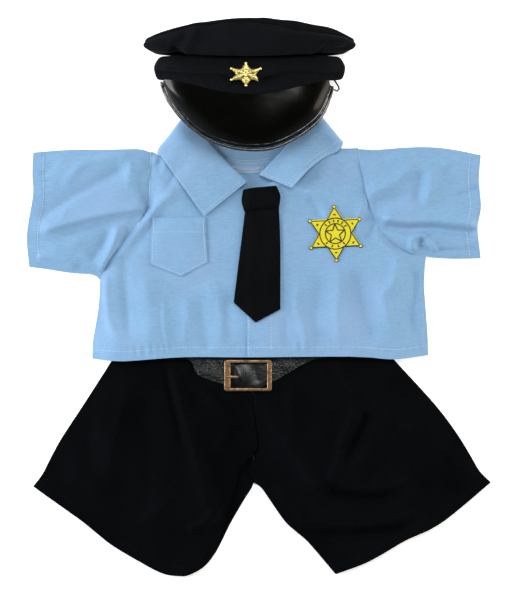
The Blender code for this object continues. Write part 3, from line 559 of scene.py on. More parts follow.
def bindingFinish():
    f = Finish("peakBinding", Roughness=0.2, Specular_IOR_Level=0.8)
    ribs = f.noise((0.5, 0.5, 0.5), 3.0)
    f.set("Base Color", f.blend(ribs, (0.002, 0.002, 0.002), (0.012, 0.012, 0.012)))
    f.set("Normal", f.bump(ribs, 0.4, 0.6))
    return f.material


def metalFinish(name, bright, dull, rough, scratch=0.3, metal=1.0):
    f = Finish(name, Metallic=metal)
    wear = f.noise((0.35, 0.35, 0.35), 5.0, 0.6)
    fine = f.noise((2.0, 0.4, 1.0), 3.0, 0.7)
    f.set("Base Color", f.blend(remap(wear, 0.0, 1.0, 0.4, 0.65), bright, dull))
    f.set("Roughness", remap(wear, rough, rough + 0.2, 0.35, 0.7))
    f.set("Normal", f.bump(fine + wear, 0.2, scratch))
    return f.material


def printFinish():
    f = Finish("starPrint", Roughness=0.55, Specular_IOR_Level=0.3)
    specks = f.noise((1.2, 1.6, 1.2), 3.0, 0.7)
    share = remap(specks, 0.0, 1.0, 0.35, 0.75)
    f.set("Base Color", f.blend(share, (0.68, 0.60, 0.005), (0.52, 0.45, 0.005)))
    f.set("Normal", f.bump(specks, 0.15, 0.5))
    return f.material


def plainFinish(name, colour, rough, shine=0.4):
    f = Finish(name, Roughness=rough, Specular_IOR_Level=shine)
    specks = f.noise((1.5, 1.5, 1.5), 2.0)
    darker, lighter = [c * 0.75 for c in colour], [min(1, c * 1.3) for c in colour]
    f.set("Base Color", f.blend(specks, darker, lighter))
    f.set("Normal", f.bump(specks, 0.1, 0.4))
    return f.material


blue, thread = cottonFinish(), threadFinish()
shortsCloth = blackClothFinish("shortsTwill", (0.0003, 0.0005, 0.0008), (0.0024, 0.0031, 0.0042), 1.2,
                               sheen=0.0)
capCloth = blackClothFinish("capTwill", (0.0022, 0.0027, 0.0034), (0.0062, 0.007, 0.0086), 1.4, sheen=0.01)
tieCloth = blackClothFinish("tieCloth", (0.0008, 0.0011, 0.0014), (0.0034, 0.0042, 0.005), 1.6, 0.85, 0.0)
blackThread = plainFinish("blackThread", (0.0045, 0.005, 0.006), 0.8, 0.04)
vinyl, peakGloss, binding = vinylFinish(), peakFinish(), bindingFinish()
buckleMetal = metalFinish("buckleMetal", (0.27, 0.16, 0.075), (0.10, 0.06, 0.03), 0.3, 0.3, 0.62)
gold = metalFinish("badgeGold", (0.90, 0.74, 0.26), (0.72, 0.56, 0.16), 0.3, 0.9)
starYellow = printFinish()
inkBlack = plainFinish("inkBlack", (0.008, 0.008, 0.008), 0.6)
elasticBlack = plainFinish("elasticBlack", (0.02, 0.02, 0.02), 0.7, 0.1)
print("materials made")


view = {"distance": 2200.0, "wide": 390.0, "tall": 450.0, "x": 0.75, "y": -1.35, "plane": 4.0}


def makeCamera():
    lens = bpy.data.cameras.new("camera")
    lens.lens = 36 / 2 * view["distance"] / (view["tall"] / 2)
    lens.clip_start, lens.clip_end = 0.05, 20
    camera = bpy.data.objects.new("camera", lens)
    camera.location = Vector((view["x"], view["y"], view["distance"] + view["plane"])) * mm
    bpy.context.scene.collection.objects.link(camera)
    bpy.context.scene.camera = camera


def softLight(name, place, aim, size, power, colour=(1, 1, 1)):
    lamp = bpy.data.lights.new(name, "AREA")
    lamp.shape, lamp.size, lamp.size_y = "RECTANGLE", size[0], size[1]
    lamp.energy, lamp.color = power, colour
    holder = bpy.data.objects.new(name, lamp)
    holder.location = place
    holder.rotation_euler = (Vector(aim) - Vector(place)).to_track_quat("-Z", "Y").to_euler()
    bpy.context.scene.collection.objects.link(holder)


# sky: from this height of the dome to that one, its strength goes from the third number to the fourth
studio = {"sky": (0.25, 0.8, 1.0, 0.03), "skyColour": (0.78, 0.91, 1.0),
          "floorSize": 3.0, "floorLevel": -0.0006, "floorGlow": 0.5,
          "lights": (("windowLeft", (-1.45, 0.1, 0.5), (0.5, 0.9), 30.0, (1.0, 1.0, 1.0)),
                     ("warmRight", (1.4, 0.0, 0.5), (0.7, 1.0), 17.0, (1.0, 0.84, 0.68)),
                     ("skylight", (0.25, 0.8, 1.8), (1.1, 0.7), 22.0, (1.0, 1.0, 1.0)))}


def makeStudio():
    scene = bpy.context.scene
    scene.view_settings.view_transform = "Standard"
    scene.world = bpy.data.worlds.new("studio")
    scene.world.use_nodes = True
    nodes, links = scene.world.node_tree.nodes, scene.world.node_tree.links
    sky, spot = nodes["Background"], nodes.new("ShaderNodeTexCoord")
    split, ramp = nodes.new("ShaderNodeSeparateXYZ"), nodes.new("ShaderNodeMapRange")
    links.new(spot.outputs["Generated"], split.inputs[0])
    links.new(split.outputs["Z"], ramp.inputs["Value"])
    for socket, value in zip((1, 2, 3, 4), studio["sky"]):
        ramp.inputs[socket].default_value = value
    links.new(ramp.outputs[0], sky.inputs["Strength"])
    sky.inputs["Color"].default_value = (*studio["skyColour"], 1)
    for name, place, size, power, colour in studio["lights"]:
        softLight(name, place, (0, 0, 0), size, power, colour)
    size, level = studio["floorSize"], studio["floorLevel"]
    mesh = bpy.data.meshes.new("floor")
    corners = [(x * size, y * size, level) for x, y in ((-1, -1), (1, -1), (1, 1), (-1, 1))]
    mesh.from_pydata(corners, [], [(0, 1, 2, 3)])
    f = Finish("paleFloor", Roughness=0.9, Emission_Color=(1.0, 1.0, 1.0),
               Emission_Strength=studio["floorGlow"])
    f.set("Base Color", f.blend(f.noise((0.01, 0.01, 0.01), 2.0), (0.90, 0.90, 0.90), (0.92, 0.92, 0.92)))
    mesh.materials.append(f.material)
    floor = bpy.data.objects.new("floor", mesh)
    scene.collection.objects.link(floor)


makeCamera()
makeStudio()
print("camera, light and floor made")


def edgeRun(outline, start, stop):
    # the stretch of a panel's edge between the points nearest two places, anticlockwise
    first = int(np.argmin(np.hypot(*(outline - np.array(start)).T)))
    last = int(np.argmin(np.hypot(*(outline - np.array(stop)).T)))
    count = (last - first) % len(outline)
    return outline[(first + np.arange(count + 1)) % len(outline)]


def inset(path, distance, trim=0.0):
    # the same line moved to its left, shortened at both ends
    run = np.gradient(path, axis=0)
    left = np.column_stack([-run[:, 1], run[:, 0]]) / np.linalg.norm(run, axis=1, keepdims=True)
    moved = path + left * distance
    cut = trim / pathLength(moved)
    return resample(moved, np.linspace(cut, 1 - cut, len(moved)))


def wandering(draw, run, strongest, lengths):
    # four slow waves along a seam, so that its small gathers come unevenly
    return sum(draw.uniform(0.4, strongest) * np.sin(run / draw.uniform(*lengths) + draw.uniform(0, 6))
               for _ in range(4))


def hemShape(points, edge, depth, rise, pucker, gather, seed):
    # the doubled hem stands a little higher and the stitch line draws the cloth into small waves
    draw = np.random.default_rng(seed)
    d, t, _ = nearPath(points, edge)
    length = pathLength(edge)
    phase = t * length * 6.283 / gather
    wander = wandering(draw, t * length, 1.2, (6, 22))
    fades = 0.55 + 0.45 * np.sin(t * length / 13.0 + draw.uniform(0, 6))
    waves = np.sin(phase + wander * 1.6) * fades * np.exp(-((d - depth) / (depth * 0.6)) ** 2)
    groove = -0.22 * np.exp(-((d - depth) / 0.7) ** 2)
    return rise * (1 - ease((d - depth) / 1.0)) + pucker * waves + groove


def seamShape(points, edge, sink=0.7, reach=2.2, pucker=0.0, gather=6.0, seed=5):
    # the edge of a sewn seam turns down; small waves run off it
    draw = np.random.default_rng(seed)
    d, t, _ = nearPath(points, edge)
    length = pathLength(edge)
    wander = wandering(draw, t * length, 1.4, (5, 18))
    waves = np.sin(t * length * 6.283 / gather + wander * 1.8) * (0.5 + 0.5 * np.sin(t * length / 17 + seed))
    puckers = pucker * waves * ease(d / 1.2) * np.exp(-(d / (gather * 0.9)) ** 2)
    return -sink * np.exp(-(d / reach) ** 2) + puckers


class Panel:
    # one cut piece: its edge and fine net from the frame, and the height of its upper side
    def __init__(self, node, step, rounds=14, corner=34):
        self.node = node
        self.outline = fineOutline(nodeOutline(node), step, corner)
        self.flat, self.triangles = triangulated(self.outline, step)
        self.top = smoothed(Surface(node).heights(self.flat), self.triangles, rounds)

    def edge(self, start, stop):
        return edgeRun(self.outline, start, stop)

    def room(self):
        # how far each point is from the panel's edge
        return fromEdge(self.flat, self.outline)

    def side(self):
        return np.column_stack([self.flat, self.top]), self.triangles

    def make(self, name, finish, slot, wall, bottom=None):
        return addCloth(name, self.flat, self.top, self.triangles, wall, finish, self.node, bottom)


shorts = {"depth": 3.0, "grid": 2.2, "backGrid": 4.0, "wall": 0.8, "hemDepth": 6.5, "stitchPitch": 2.6,
          "low": 1.75, "middle": -5, "closeReach": 1.3, "closeShift": 0.14}
# what each leg's rumples, hem and seams are drawn from
legSeeds = {"right": (7, 17, 9), "left": (11, 21, 3)}
shortsSeams = {"rightOut": ((-98, -28), (-169.5, -142)), "rightHem": ((-169.5, -142), (-31, -189)),
               "rightIn": ((-31, -189), (0, -112)), "leftOut": ((174, -139), (85, -28)),
               "leftHem": ((57.5, -208), (174, -139)), "leftIn": ((0, -112), (57.5, -208))}
# path, rise, widths to its left and right, fades at its start and end
rightLegCreases = [
    (((-66, -46), (-59.6, -71), (-52.5, -99.6), (-44.3, -124), (-33, -159)), 2.0, 3.2, 6.5, 0.1, 0.3),
    (((-71, -48), (-65, -74), (-58, -103), (-50, -128)), -1.5, 5.0, 3.5, 0.1, 0.4),
    (((-59, -48), (-37.7, -71.6), (-27, -81.6), (-16.5, -92), (-10.5, -100)), 1.9, 3.0, 5.5, 0.15, 0.2),
    (((-58, -52), (-46, -63), (-26, -81), (-12, -97)), -1.9, 3.6, 3.6, 0.2, 0.25),
    (((-55, -174), (-42, -168.6), (-31, -158)), 1.5, 3.0, 6.0, 0.2, 0.2),
    (((-44, -136), (-38, -150), (-27, -166)), 1.2, 3.0, 5.0, 0.3, 0.2),
    (((-96, -58), (-104, -88), (-112, -121), (-110, -150)), 1.1, 9.0, 6.0, 0.3, 0.3),
    (((-124, -84), (-128, -112), (-126, -140)), -0.9, 8.0, 8.0, 0.3, 0.4),
    (((-148, -128), (-128, -135), (-110, -149)), 0.9, 5.0, 8.0, 0.3, 0.4),
    (((-84, -60), (-86, -95), (-83, -130), (-88, -166)), -1.0, 7.0, 6.0, 0.3, 0.4),
    (((-24, -96), (-30, -112), (-38, -121)), 1.0, 2.6, 5.0, 0.2, 0.4),
    (((-66, -150), (-84, -166), (-100, -172)), 0.9, 6.0, 5.0, 0.3, 0.4),
]
leftLegCreases = [
    (((57, -46), (62, -58), (70, -68), (75, -77)), 1.7, 7.0, 3.0, 0.15, 0.3),
    (((75, -77), (65, -101), (58, -123.6), (50, -142)), 1.9, 7.0, 3.0, 0.15, 0.2),
    (((96, -84), (84, -104), (72, -128), (57, -142)), 1.3, 5.0, 5.0, 0.2, 0.2),
    (((81, -84), (72, -104), (58, -132)), -1.5, 3.0, 4.5, 0.1, 0.3),
    (((18, -99), (29, -116), (39, -132), (49.5, -143)), 1.7, 3.0, 7.0, 0.2, 0.15),
    (((52, -136), (62, -142), (85.5, -143), (108, -138), (114, -124), (112, -108)), 1.2, 5.0, 4.0, 0.15, 0.3),
    (((50, -143), (62, -149), (86, -151), (106, -147)), -1.9, 4.0, 6.5, 0.1, 0.3),
    (((104, -81), (108, -94), (110, -106)), 1.2, 6.0, 2.5, 0.3, 0.3),
    (((26, -168), (60, -171), (97.5, -168), (122, -160)), 1.2, 5.0, 3.0, 0.2, 0.25),
    (((24, -176), (58, -178), (94, -175), (118, -168)), -1.7, 3.4, 6.0, 0.15, 0.2),
    (((26, -58), (24, -84), (30, -104)), 1.0, 6.0, 4.0, 0.3, 0.4),
    (((132, -104), (142, -124), (140, -148)), 0.9, 7.0, 7.0, 0.3, 0.4),
    (((8, -140), (26, -156), (38, -174)), 1.1, 5.0, 4.0, 0.3, 0.3),
]
backLegCreases = [
    (((-70, -60), (-64, -110), (-52, -160)), 1.2, 8.0, 12.0, 0.3, 0.4),
    (((-118, -84), (-112, -130), (-96, -176)), 0.9, 12.0, 8.0, 0.3, 0.4),
    (((60, -70), (58, -120), (50, -160)), 1.2, 12.0, 8.0, 0.3, 0.4),
    (((104, -84), (112, -128), (104, -166)), 0.9, 8.0, 12.0, 0.3, 0.4),
]


def makeShorts():
    fronts, stitchLines = {}, []
    for side, creases, seams in (("right", rightLegCreases, ("rightOut", "rightHem", "rightIn")),
                                 ("left", leftLegCreases, ("leftOut", "leftHem", "leftIn"))):
        panel = Panel(f"shorts_front_{side}", shorts["grid"])
        outSeam, hem, inSeam = (panel.edge(*shortsSeams[s]) for s in seams)
        rumpleSeed, hemSeed, seamSeed = legSeeds[side]
        room = np.minimum(nearPath(panel.flat, outSeam)[0], nearPath(panel.flat, inSeam)[0])
        belowBelt = ease((-44 - panel.flat[:, 1]) / 14)
        folds = shorts["depth"] * creaseField(panel.flat, creases)
        folds += ripples(panel.flat, rumpleSeed, 46, 0.35)
        panel.top = panel.top + folds * ease(room / 9) * belowBelt
        panel.top += hemShape(panel.flat, hem, shorts["hemDepth"], 0.3, 0.28, 7.0, hemSeed)
        for seam in (outSeam, inSeam):
            panel.top += seamShape(panel.flat, seam, 0.5, 2.4, 0.3, 9.0, seamSeed)
        panel.top = np.maximum(panel.top, shorts["low"])
        piece = panel.make(f"shortsFront{side.capitalize()}", shortsCloth, "shorts_twill", shorts["wall"])
        stitchLines.append(inset(hem, shorts["hemDepth"], 3.0))
        fronts[side] = panel
        declareSheet(piece)
    for side in ("right", "left"):
        panel = Panel(f"shorts_back_{side}", shorts["backGrid"])
        bottom = np.maximum(creaseField(panel.flat, backLegCreases) * 0.35, 0) * ease(panel.room() / 20)
        panel.top = bottom + shorts["wall"]
        # the two halves meet at the middle seam
        inward = shorts["closeShift"] * (1 if side == "right" else -1)
        panel.flat[:, 0] += inward * (abs(panel.flat[:, 0] - shorts["middle"]) < shorts["closeReach"])
        piece = panel.make(f"shortsBack{side.capitalize()}", shortsCloth, "shorts_twill", shorts["wall"],
                           bottom)
        declareSheet(piece)
    frontSide = Surface(fronts["right"].side(), fronts["left"].side())
    fly = smoothPath([(12.5, -62), (12.5, -77), (9.8, -83), (4, -86), (-1.8, -86.6)], 2.0)
    middle = fronts["left"].edge((-5, -40), (0, -112))
    stitchLines += [fly, inset(middle, 1.6, 4.0)]
    sewn = stitchesAlong(stitchLines, frontSide.heights, shorts["stitchPitch"], lift=0.08)
    bars("shortsStitches", *sewn, blackThread, "shorts_twill")
    print("shorts made")


makeShorts()


belt = {"grid": 1.3, "wall": 1.1, "bulge": 1.5}
buckle = {"left": -26.0, "right": 9.5, "top": -46.2, "bottom": -69.5, "leftBar": 4.6, "rightBar": 3.4,
          "endBar": 2.2, "low": 6.6, "high": 8.2, "corner": 1.6, "innerCorner": 0.8}
prong = {"y": -58.9, "level": 7.55, "around": 14,
         # x, radius and lift, from its loop round the bar to its tip
         "rings": ((-25.2, 0.75, 0.1), (-24.4, 1.05, 0.25), (-22.6, 1.1, 0.35), (-20.4, 1.1, 0.35),
                   (-18.0, 1.05, 0.25), (-16.4, 0.95, 0.1), (-15.4, 0.7, 0.0), (-14.9, 0.25, 0.0))}
# path, rise, widths to its left and right, fades at its ends
beltCreases = [
    (((-62, -30), (-50, -36), (-40, -44)), 0.7, 2.0, 3.0, 0.2, 0.3),
    (((-46, -56), (-38, -56), (-30, -60)), 0.6, 1.6, 2.6, 0.2, 0.3),
    (((-18, -48), (-16, -57), (-12, -66)), 1.1, 4.0, 3.0, 0.2, 0.2),
    (((-4, -50), (-2, -60), (2, -66)), -0.7, 2.6, 2.0, 0.2, 0.3),
    (((14, -42), (20, -50), (30, -54)), 0.8, 2.0, 3.0, 0.2, 0.3),
    (((22, -36), (34, -42), (46, -44)), 0.6, 2.0, 3.0, 0.2, 0.3),
    (((-34, -44), (-28, -54), (-26, -62)), -0.6, 2.0, 2.0, 0.2, 0.3),
]


def makeBelt():
    panel = Panel("belt_strap", belt["grid"], 20, 50)
    room, (x, y) = panel.room(), panel.flat.T
    belowShirt = ease((-36 - y) / 8)
    panel.top += creaseField(panel.flat, beltCreases) * ease(room / 4) * belowShirt
    panel.top += ripples(panel.flat, 4, 13, 0.18) * belowShirt
    panel.top -= 0.5 * np.exp(-(room / 1.2) ** 2)
    inFrame = (x > buckle["left"] - 1) & (x < buckle["right"] + 1) & (y < buckle["top"] + 2)
    panel.top = np.where(inFrame, np.minimum(panel.top, buckle["low"] - 0.3), panel.top)
    panel.top = smoothed(panel.top, panel.triangles, 2)
    middle = np.exp(-((x + 14) / 5.5) ** 2) * np.exp(-((y + 58) / 6.5) ** 2)
    panel.top += smoothed(middle, panel.triangles, 2) * belt["bulge"]
    piece = panel.make("beltStrap", vinyl, "belt_vinyl", belt["wall"])
    declareSheet(piece)
    makeBuckle()
    print("belt made")


def buckleLoop(left, right, bottom, top, corner):
    places = []
    for x, y, start in ((right - corner, top - corner, 0), (left + corner, top - corner, 90),
                        (left + corner, bottom + corner, 180), (right - corner, bottom + corner, 270)):
        for turn in np.linspace(0, 90, 7):
            a = math.radians(start + turn)
            places.append((x + corner * math.cos(a), y + corner * math.sin(a)))
    return np.array(places)


def makeBuckle():
    outer = buckleLoop(buckle["left"], buckle["right"], buckle["bottom"], buckle["top"], buckle["corner"])
    inner = buckleLoop(buckle["left"] + buckle["leftBar"], buckle["right"] - buckle["rightBar"],
                       buckle["bottom"] + buckle["endBar"], buckle["top"] - buckle["endBar"],
                       buckle["innerCorner"])
    low, tall = buckle["low"], buckle["high"] - buckle["low"]
    rings = []
    # the bar's section: its share of the way to the inner loop and its height
    for share, rise in ((0, 0.3), (0, 0.62), (0.05, 0.85), (0.16, 0.98), (0.5, 1), (0.84, 0.98), (0.95, 0.85),
                        (1, 0.62), (1, 0.3), (0.9, 0.05), (0.1, 0.05)):
        flat = outer * (1 - share) + inner * share
        rings.append(np.column_stack([flat, np.full(len(flat), low + tall * rise)]))
    count, faces = len(outer), []
    for r in range(len(rings)):
        for c in range(count):
            a, b, below = r * count + c, r * count + (c + 1) % count, (r + 1) % len(rings) * count
            faces.append((a, b, below + (c + 1) % count, below + c))
    addMesh("beltBuckle", np.vstack(rings), faces, buckleMetal, "belt_buckle", 50)
    # the prong: a short tapered tongue with a rounded tip, lying across the left bar
    points, around = [], prong["around"]
    for x, radius, lift in prong["rings"]:
        level = prong["level"] + lift * 0.6
        points += [(x, prong["y"] + radius * math.cos(a), level + radius * 0.75 * math.sin(a))
                   for a in np.arange(around) * 2 * math.pi / around]
    faces = tubeFaces(len(prong["rings"]), around)
    addMesh("bucklePin", points, faces, buckleMetal, "buckle_prong")


makeBelt()

shirt = {"depth": {"right": 1.25, "left": 1.8}, "grid": 1.7, "backGrid": 3.2, "wall": 0.8, "hemDepth": 7.2,
         "seamSink": 0.7, "placket": 9.0, "low": 1.7}
shirtCorners = {"rightSide": ((-119, 13.5), (-125, -46)), "rightHem": ((-125, -46), (9, -44)),
                "rightArmhole": ((-81, 109.5), (-119, 13.5)), "rightShoulder": ((-53.5, 119), (-81, 109.5)),
                "leftHem": ((-9, -44), (127, -43.5)), "leftSide": ((127, -43.5), (125.5, 31)),
                "leftArmhole": ((125.5, 31), (74.5, 112)), "leftShoulder": ((74.5, 112), (41, 118))}
# path, rise, widths to its left and right, fades at its ends
shirtCreases = [
    (((-60, 81.5), (-71.4, 73.3), (-82.6, 62), (-97.2, 46.4), (-111.8, 30.6)), 2.6, 3.4, 5.6, 0.12, 0.15),
    (((-66, 68), (-80, 55), (-92, 40), (-101, 24)), -1.2, 5.0, 3.4, 0.25, 0.3),
    (((-101.5, 35), (-101, 18), (-100, 2), (-98, -20), (-95, -38)), -2.0, 6.5, 5.0, 0.1, 0.35),
    (((-116, 19), (-114.6, -3), (-111.8, -20), (-103, -33)), 1.5, 4.5, 2.6, 0.15, 0.3),
    (((-86, 26), (-84, 0), (-82, -22), (-84, -42)), 1.5, 8.0, 8.0, 0.25, 0.2),
    (((-74.7, -2), (-73.6, -20), (-70.8, -38)), -0.85, 1.5, 1.3, 0.15, 0.1),
    (((-71.5, -2), (-70.6, -20), (-67.8, -38)), 0.9, 2.2, 4.5, 0.2, 0.1),
    (((-56, 6), (-54, -14), (-57, -38)), 1.0, 4.5, 4.0, 0.3, 0.2),
    (((-45, 4), (-42, -18), (-38, -42)), -1.4, 5.0, 4.4, 0.25, 0.15),
    (((-38.8, 14), (-36, 6), (-33, -1)), 0.7, 1.6, 2.4, 0.3, 0.3),
    (((-36, 22), (-31, 4), (-28, -20), (-30, -40)), 0.9, 4.0, 4.0, 0.3, 0.2),
    (((-22, 10), (-24, -14), (-22, -36)), -0.8, 4.0, 3.6, 0.3, 0.2),
    (((-58, 100), (-66, 88), (-71, 76)), -1.1, 3.4, 3.4, 0.1, 0.3),
    (((-81, 110), (-78, 104), (-78.6, 97), (-76, 88)), 1.9, 1.8, 2.2, 0.0, 0.4),
    (((-74, 106), (-76, 101), (-81, 97)), -1.3, 1.5, 1.8, 0.1, 0.1),
    (((-70, 104), (-71, 97), (-76, 90)), 0.9, 2.0, 2.4, 0.1, 0.4),
    (((-82, 90), (-75, 88), (-68, 82)), 0.7, 2.4, 3.0, 0.1, 0.5),
    (((-112, 27), (-98, 16), (-88, 12)), 0.7, 3.0, 4.0, 0.1, 0.5),
    (((30.5, 81), (41.7, 75.6), (50.6, 63), (54, 50)), 1.2, 3.6, 2.2, 0.15, 0.4),
    (((36, 76), (44, 66), (46, 56)), -0.8, 2.4, 2.4, 0.2, 0.4),
    (((60, 104), (58, 90), (64, 76)), -1.1, 8.0, 7.0, 0.2, 0.4),
    (((80.7, 75), (75, 60), (76, 45)), 1.4, 3.6, 3.0, 0.1, 0.35),
    (((87, 57), (83, 48), (78, 40)), -1.3, 2.6, 2.8, 0.1, 0.4),
    (((90, 54), (94, 40), (104, 30), (100, 10), (93, 2), (97, -14), (103, -31)), 1.5, 5.0, 4.4, 0.1, 0.25),
    (((72, 26), (75, 6), (80, -12), (86, -38)), -1.9, 7.0, 7.0, 0.25, 0.2),
    (((115, 26), (117, 4), (114, -12), (116, -34)), -1.2, 4.5, 3.6, 0.2, 0.3),
    (((122, 20), (121.5, -8), (122, -38)), 0.9, 2.4, 2.6, 0.3, 0.2),
    (((58, 30), (60, 8), (58, -14), (62, -40)), 1.2, 6.0, 5.0, 0.3, 0.2),
    (((46, 22), (44, 0), (42, -20), (46, -40)), -0.9, 5.0, 5.0, 0.3, 0.2),
    (((29, 20), (28, -6), (33, -24), (36, -42)), 1.1, 4.6, 3.0, 0.3, 0.15),
    (((20, -10), (20.5, -24), (22, -40)), -0.7, 2.0, 2.4, 0.3, 0.15),
    (((22, 76), (20, 50), (22, 24)), 0.6, 3.0, 3.4, 0.3, 0.4),
    (((16, 66), (30, 62), (42, 63)), -0.5, 2.0, 2.4, 0.1, 0.5),
]
shirtBackCreases = [
    (((-96, 40), (-84, 0), (-88, -36)), 1.0, 6.0, 9.0, 0.2, 0.3),
    (((-40, 80), (-34, 30), (-42, -20)), 0.9, 8.0, 8.0, 0.3, 0.3),
    (((44, 70), (36, 20), (46, -30)), 1.0, 8.0, 8.0, 0.3, 0.3),
    (((96, 40), (92, 0), (98, -36)), 0.9, 9.0, 6.0, 0.2, 0.3),
]
# what lies inside the neck: folds drawn in by the neck seam
neckCreases = [
    (((-3, 110), (-2.5, 103), (-4, 96)), 0.5, 1.0, 1.4, 0.2, 0.3),
    (((2, 110), (2.4, 102), (1, 95)), 0.5, 1.2, 1.0, 0.2, 0.3),
    (((-16, 108), (-15, 100), (-13, 92)), -0.4, 1.8, 1.8, 0.2, 0.4),
]


def makeShirtBody():
    edges = {}
    panels = {}
    for side in ("right", "left"):
        panel = Panel(f"shirt_front_{side}", shirt["grid"], 16)
        flat = panel.flat
        near = 1.0
        seams = [f"{side}Side", f"{side}Armhole", f"{side}Shoulder"]
        for seam in seams:
            edges[seam] = panel.edge(*shirtCorners[seam])
            near = near * ease(nearPath(flat, edges[seam])[0] / 6)
        folds = shirt["depth"][side] * creaseField(flat, shirtCreases)
        panel.top = panel.top + folds * near * ease((flat[:, 1] + 52) / 10)
        panel.top += ripples(flat, 23, 40, 0.3) * near
        for seam, gather, pucker in zip(seams, (9.0, 6.5, 8.0), (0.25, 0.35, 0.2)):
            panel.top += seamShape(flat, edges[seam], shirt["seamSink"], 2.0, pucker, gather, len(seam))
        hem = f"{side}Hem"
        edges[hem] = panel.edge(*shirtCorners[hem])
        panel.top += hemShape(flat, edges[hem], shirt["hemDepth"], 0.35, 0.42, 4.6, 31)
        panel.top = np.maximum(panel.top, shirt["low"])
        panels[side] = panel
    # the left front lies on the right one; its edge shows as a step and its facing's stitches show in it
    right = Surface(panels["right"].side())
    flat = panels["left"].flat
    lapped = flat[:, 0] < shirt["placket"] + 0.5
    under = right.heights(flat)
    placket = -0.25 * np.exp(-((flat[:, 0] - shirt["placket"]) / 0.8) ** 2)
    edgeDrop = -0.35 * np.exp(-((flat[:, 0] + shirt["placket"]) / 0.9) ** 2)
    top = panels["left"].top + placket + edgeDrop
    panels["left"].top = np.where(lapped, np.maximum(top, under + shirt["wall"] + 0.15), top)
    for side in ("right", "left"):
        piece = panels[side].make(f"shirtFront{side.capitalize()}", blue, "shirt_cotton", shirt["wall"])
        declareSheet(piece)
    back = Panel("shirt_back", shirt["backGrid"], 14)
    back.top = np.maximum(back.top - 0.4, shirt["wall"] + 0.05)
    neckRise = creaseField(back.flat, neckCreases)
    low = back.top - shirt["wall"]
    back.top += np.where(back.flat[:, 1] > 84, neckRise, 0)
    bumps = creaseField(back.flat, shirtBackCreases) * ease(back.room() / 16) * 0.25
    raised = np.maximum(back.top + np.minimum(bumps, 0.4), shirt["wall"])
    piece = addCloth("shirtBack", back.flat, raised, back.triangles, shirt["wall"], blue,
                     "shirt_back", np.maximum(low, 0.02))
    declareSheet(piece)
    return Surface(panels["right"].side(), panels["left"].side()), back, edges


shirtTop, backPanel, shirtEdges = makeShirtBody()
print("shirt body made")


# the seams of each sleeve, from the shoulder or the armhole outward
sleeves = {"depth": {"right": 1.25, "left": 2.0}, "along": 60, "across": 64, "wall": 0.8, "cuffDepth": 8.0,
           "fullness": 2.6, "foldRadius": 1.05, "low": 0.02, "gap": 0.3}
sleeveSeams = {
    "right": {"top": ((-81, 109.5), (-91, 112), (-115.5, 111.5), (-141.5, 111.5), (-169.5, 109.5)),
              "cuff": ((-169.5, 109.5), (-170, 92), (-169.5, 77.5), (-174, 48), (-172.5, 23.5)),
              "underarm": ((-119, 13.5), (-124.5, 17.5), (-141.5, 19), (-161, 22), (-172.5, 23.5)),
              "armhole": ((-81, 109.5), (-82, 88), (-83.5, 68.5), (-91, 55.5), (-104, 39), (-113, 27),
                          (-119, 13.5))},
    "left": {"top": ((74.5, 112), (88, 111.5), (107.5, 113), (127, 113.5), (146.5, 111.5), (166.5, 107.5)),
             "cuff": ((166.5, 107.5), (165, 89), (166.5, 68.5), (164, 52), (166.5, 30)),
             "underarm": ((125.5, 31), (133, 30), (148, 29.5), (166.5, 30)),
             "armhole": ((74.5, 112), (76, 98), (79, 84), (84, 64), (91, 50), (102.5, 39.5), (115.5, 33),
                         (125.5, 31))}}
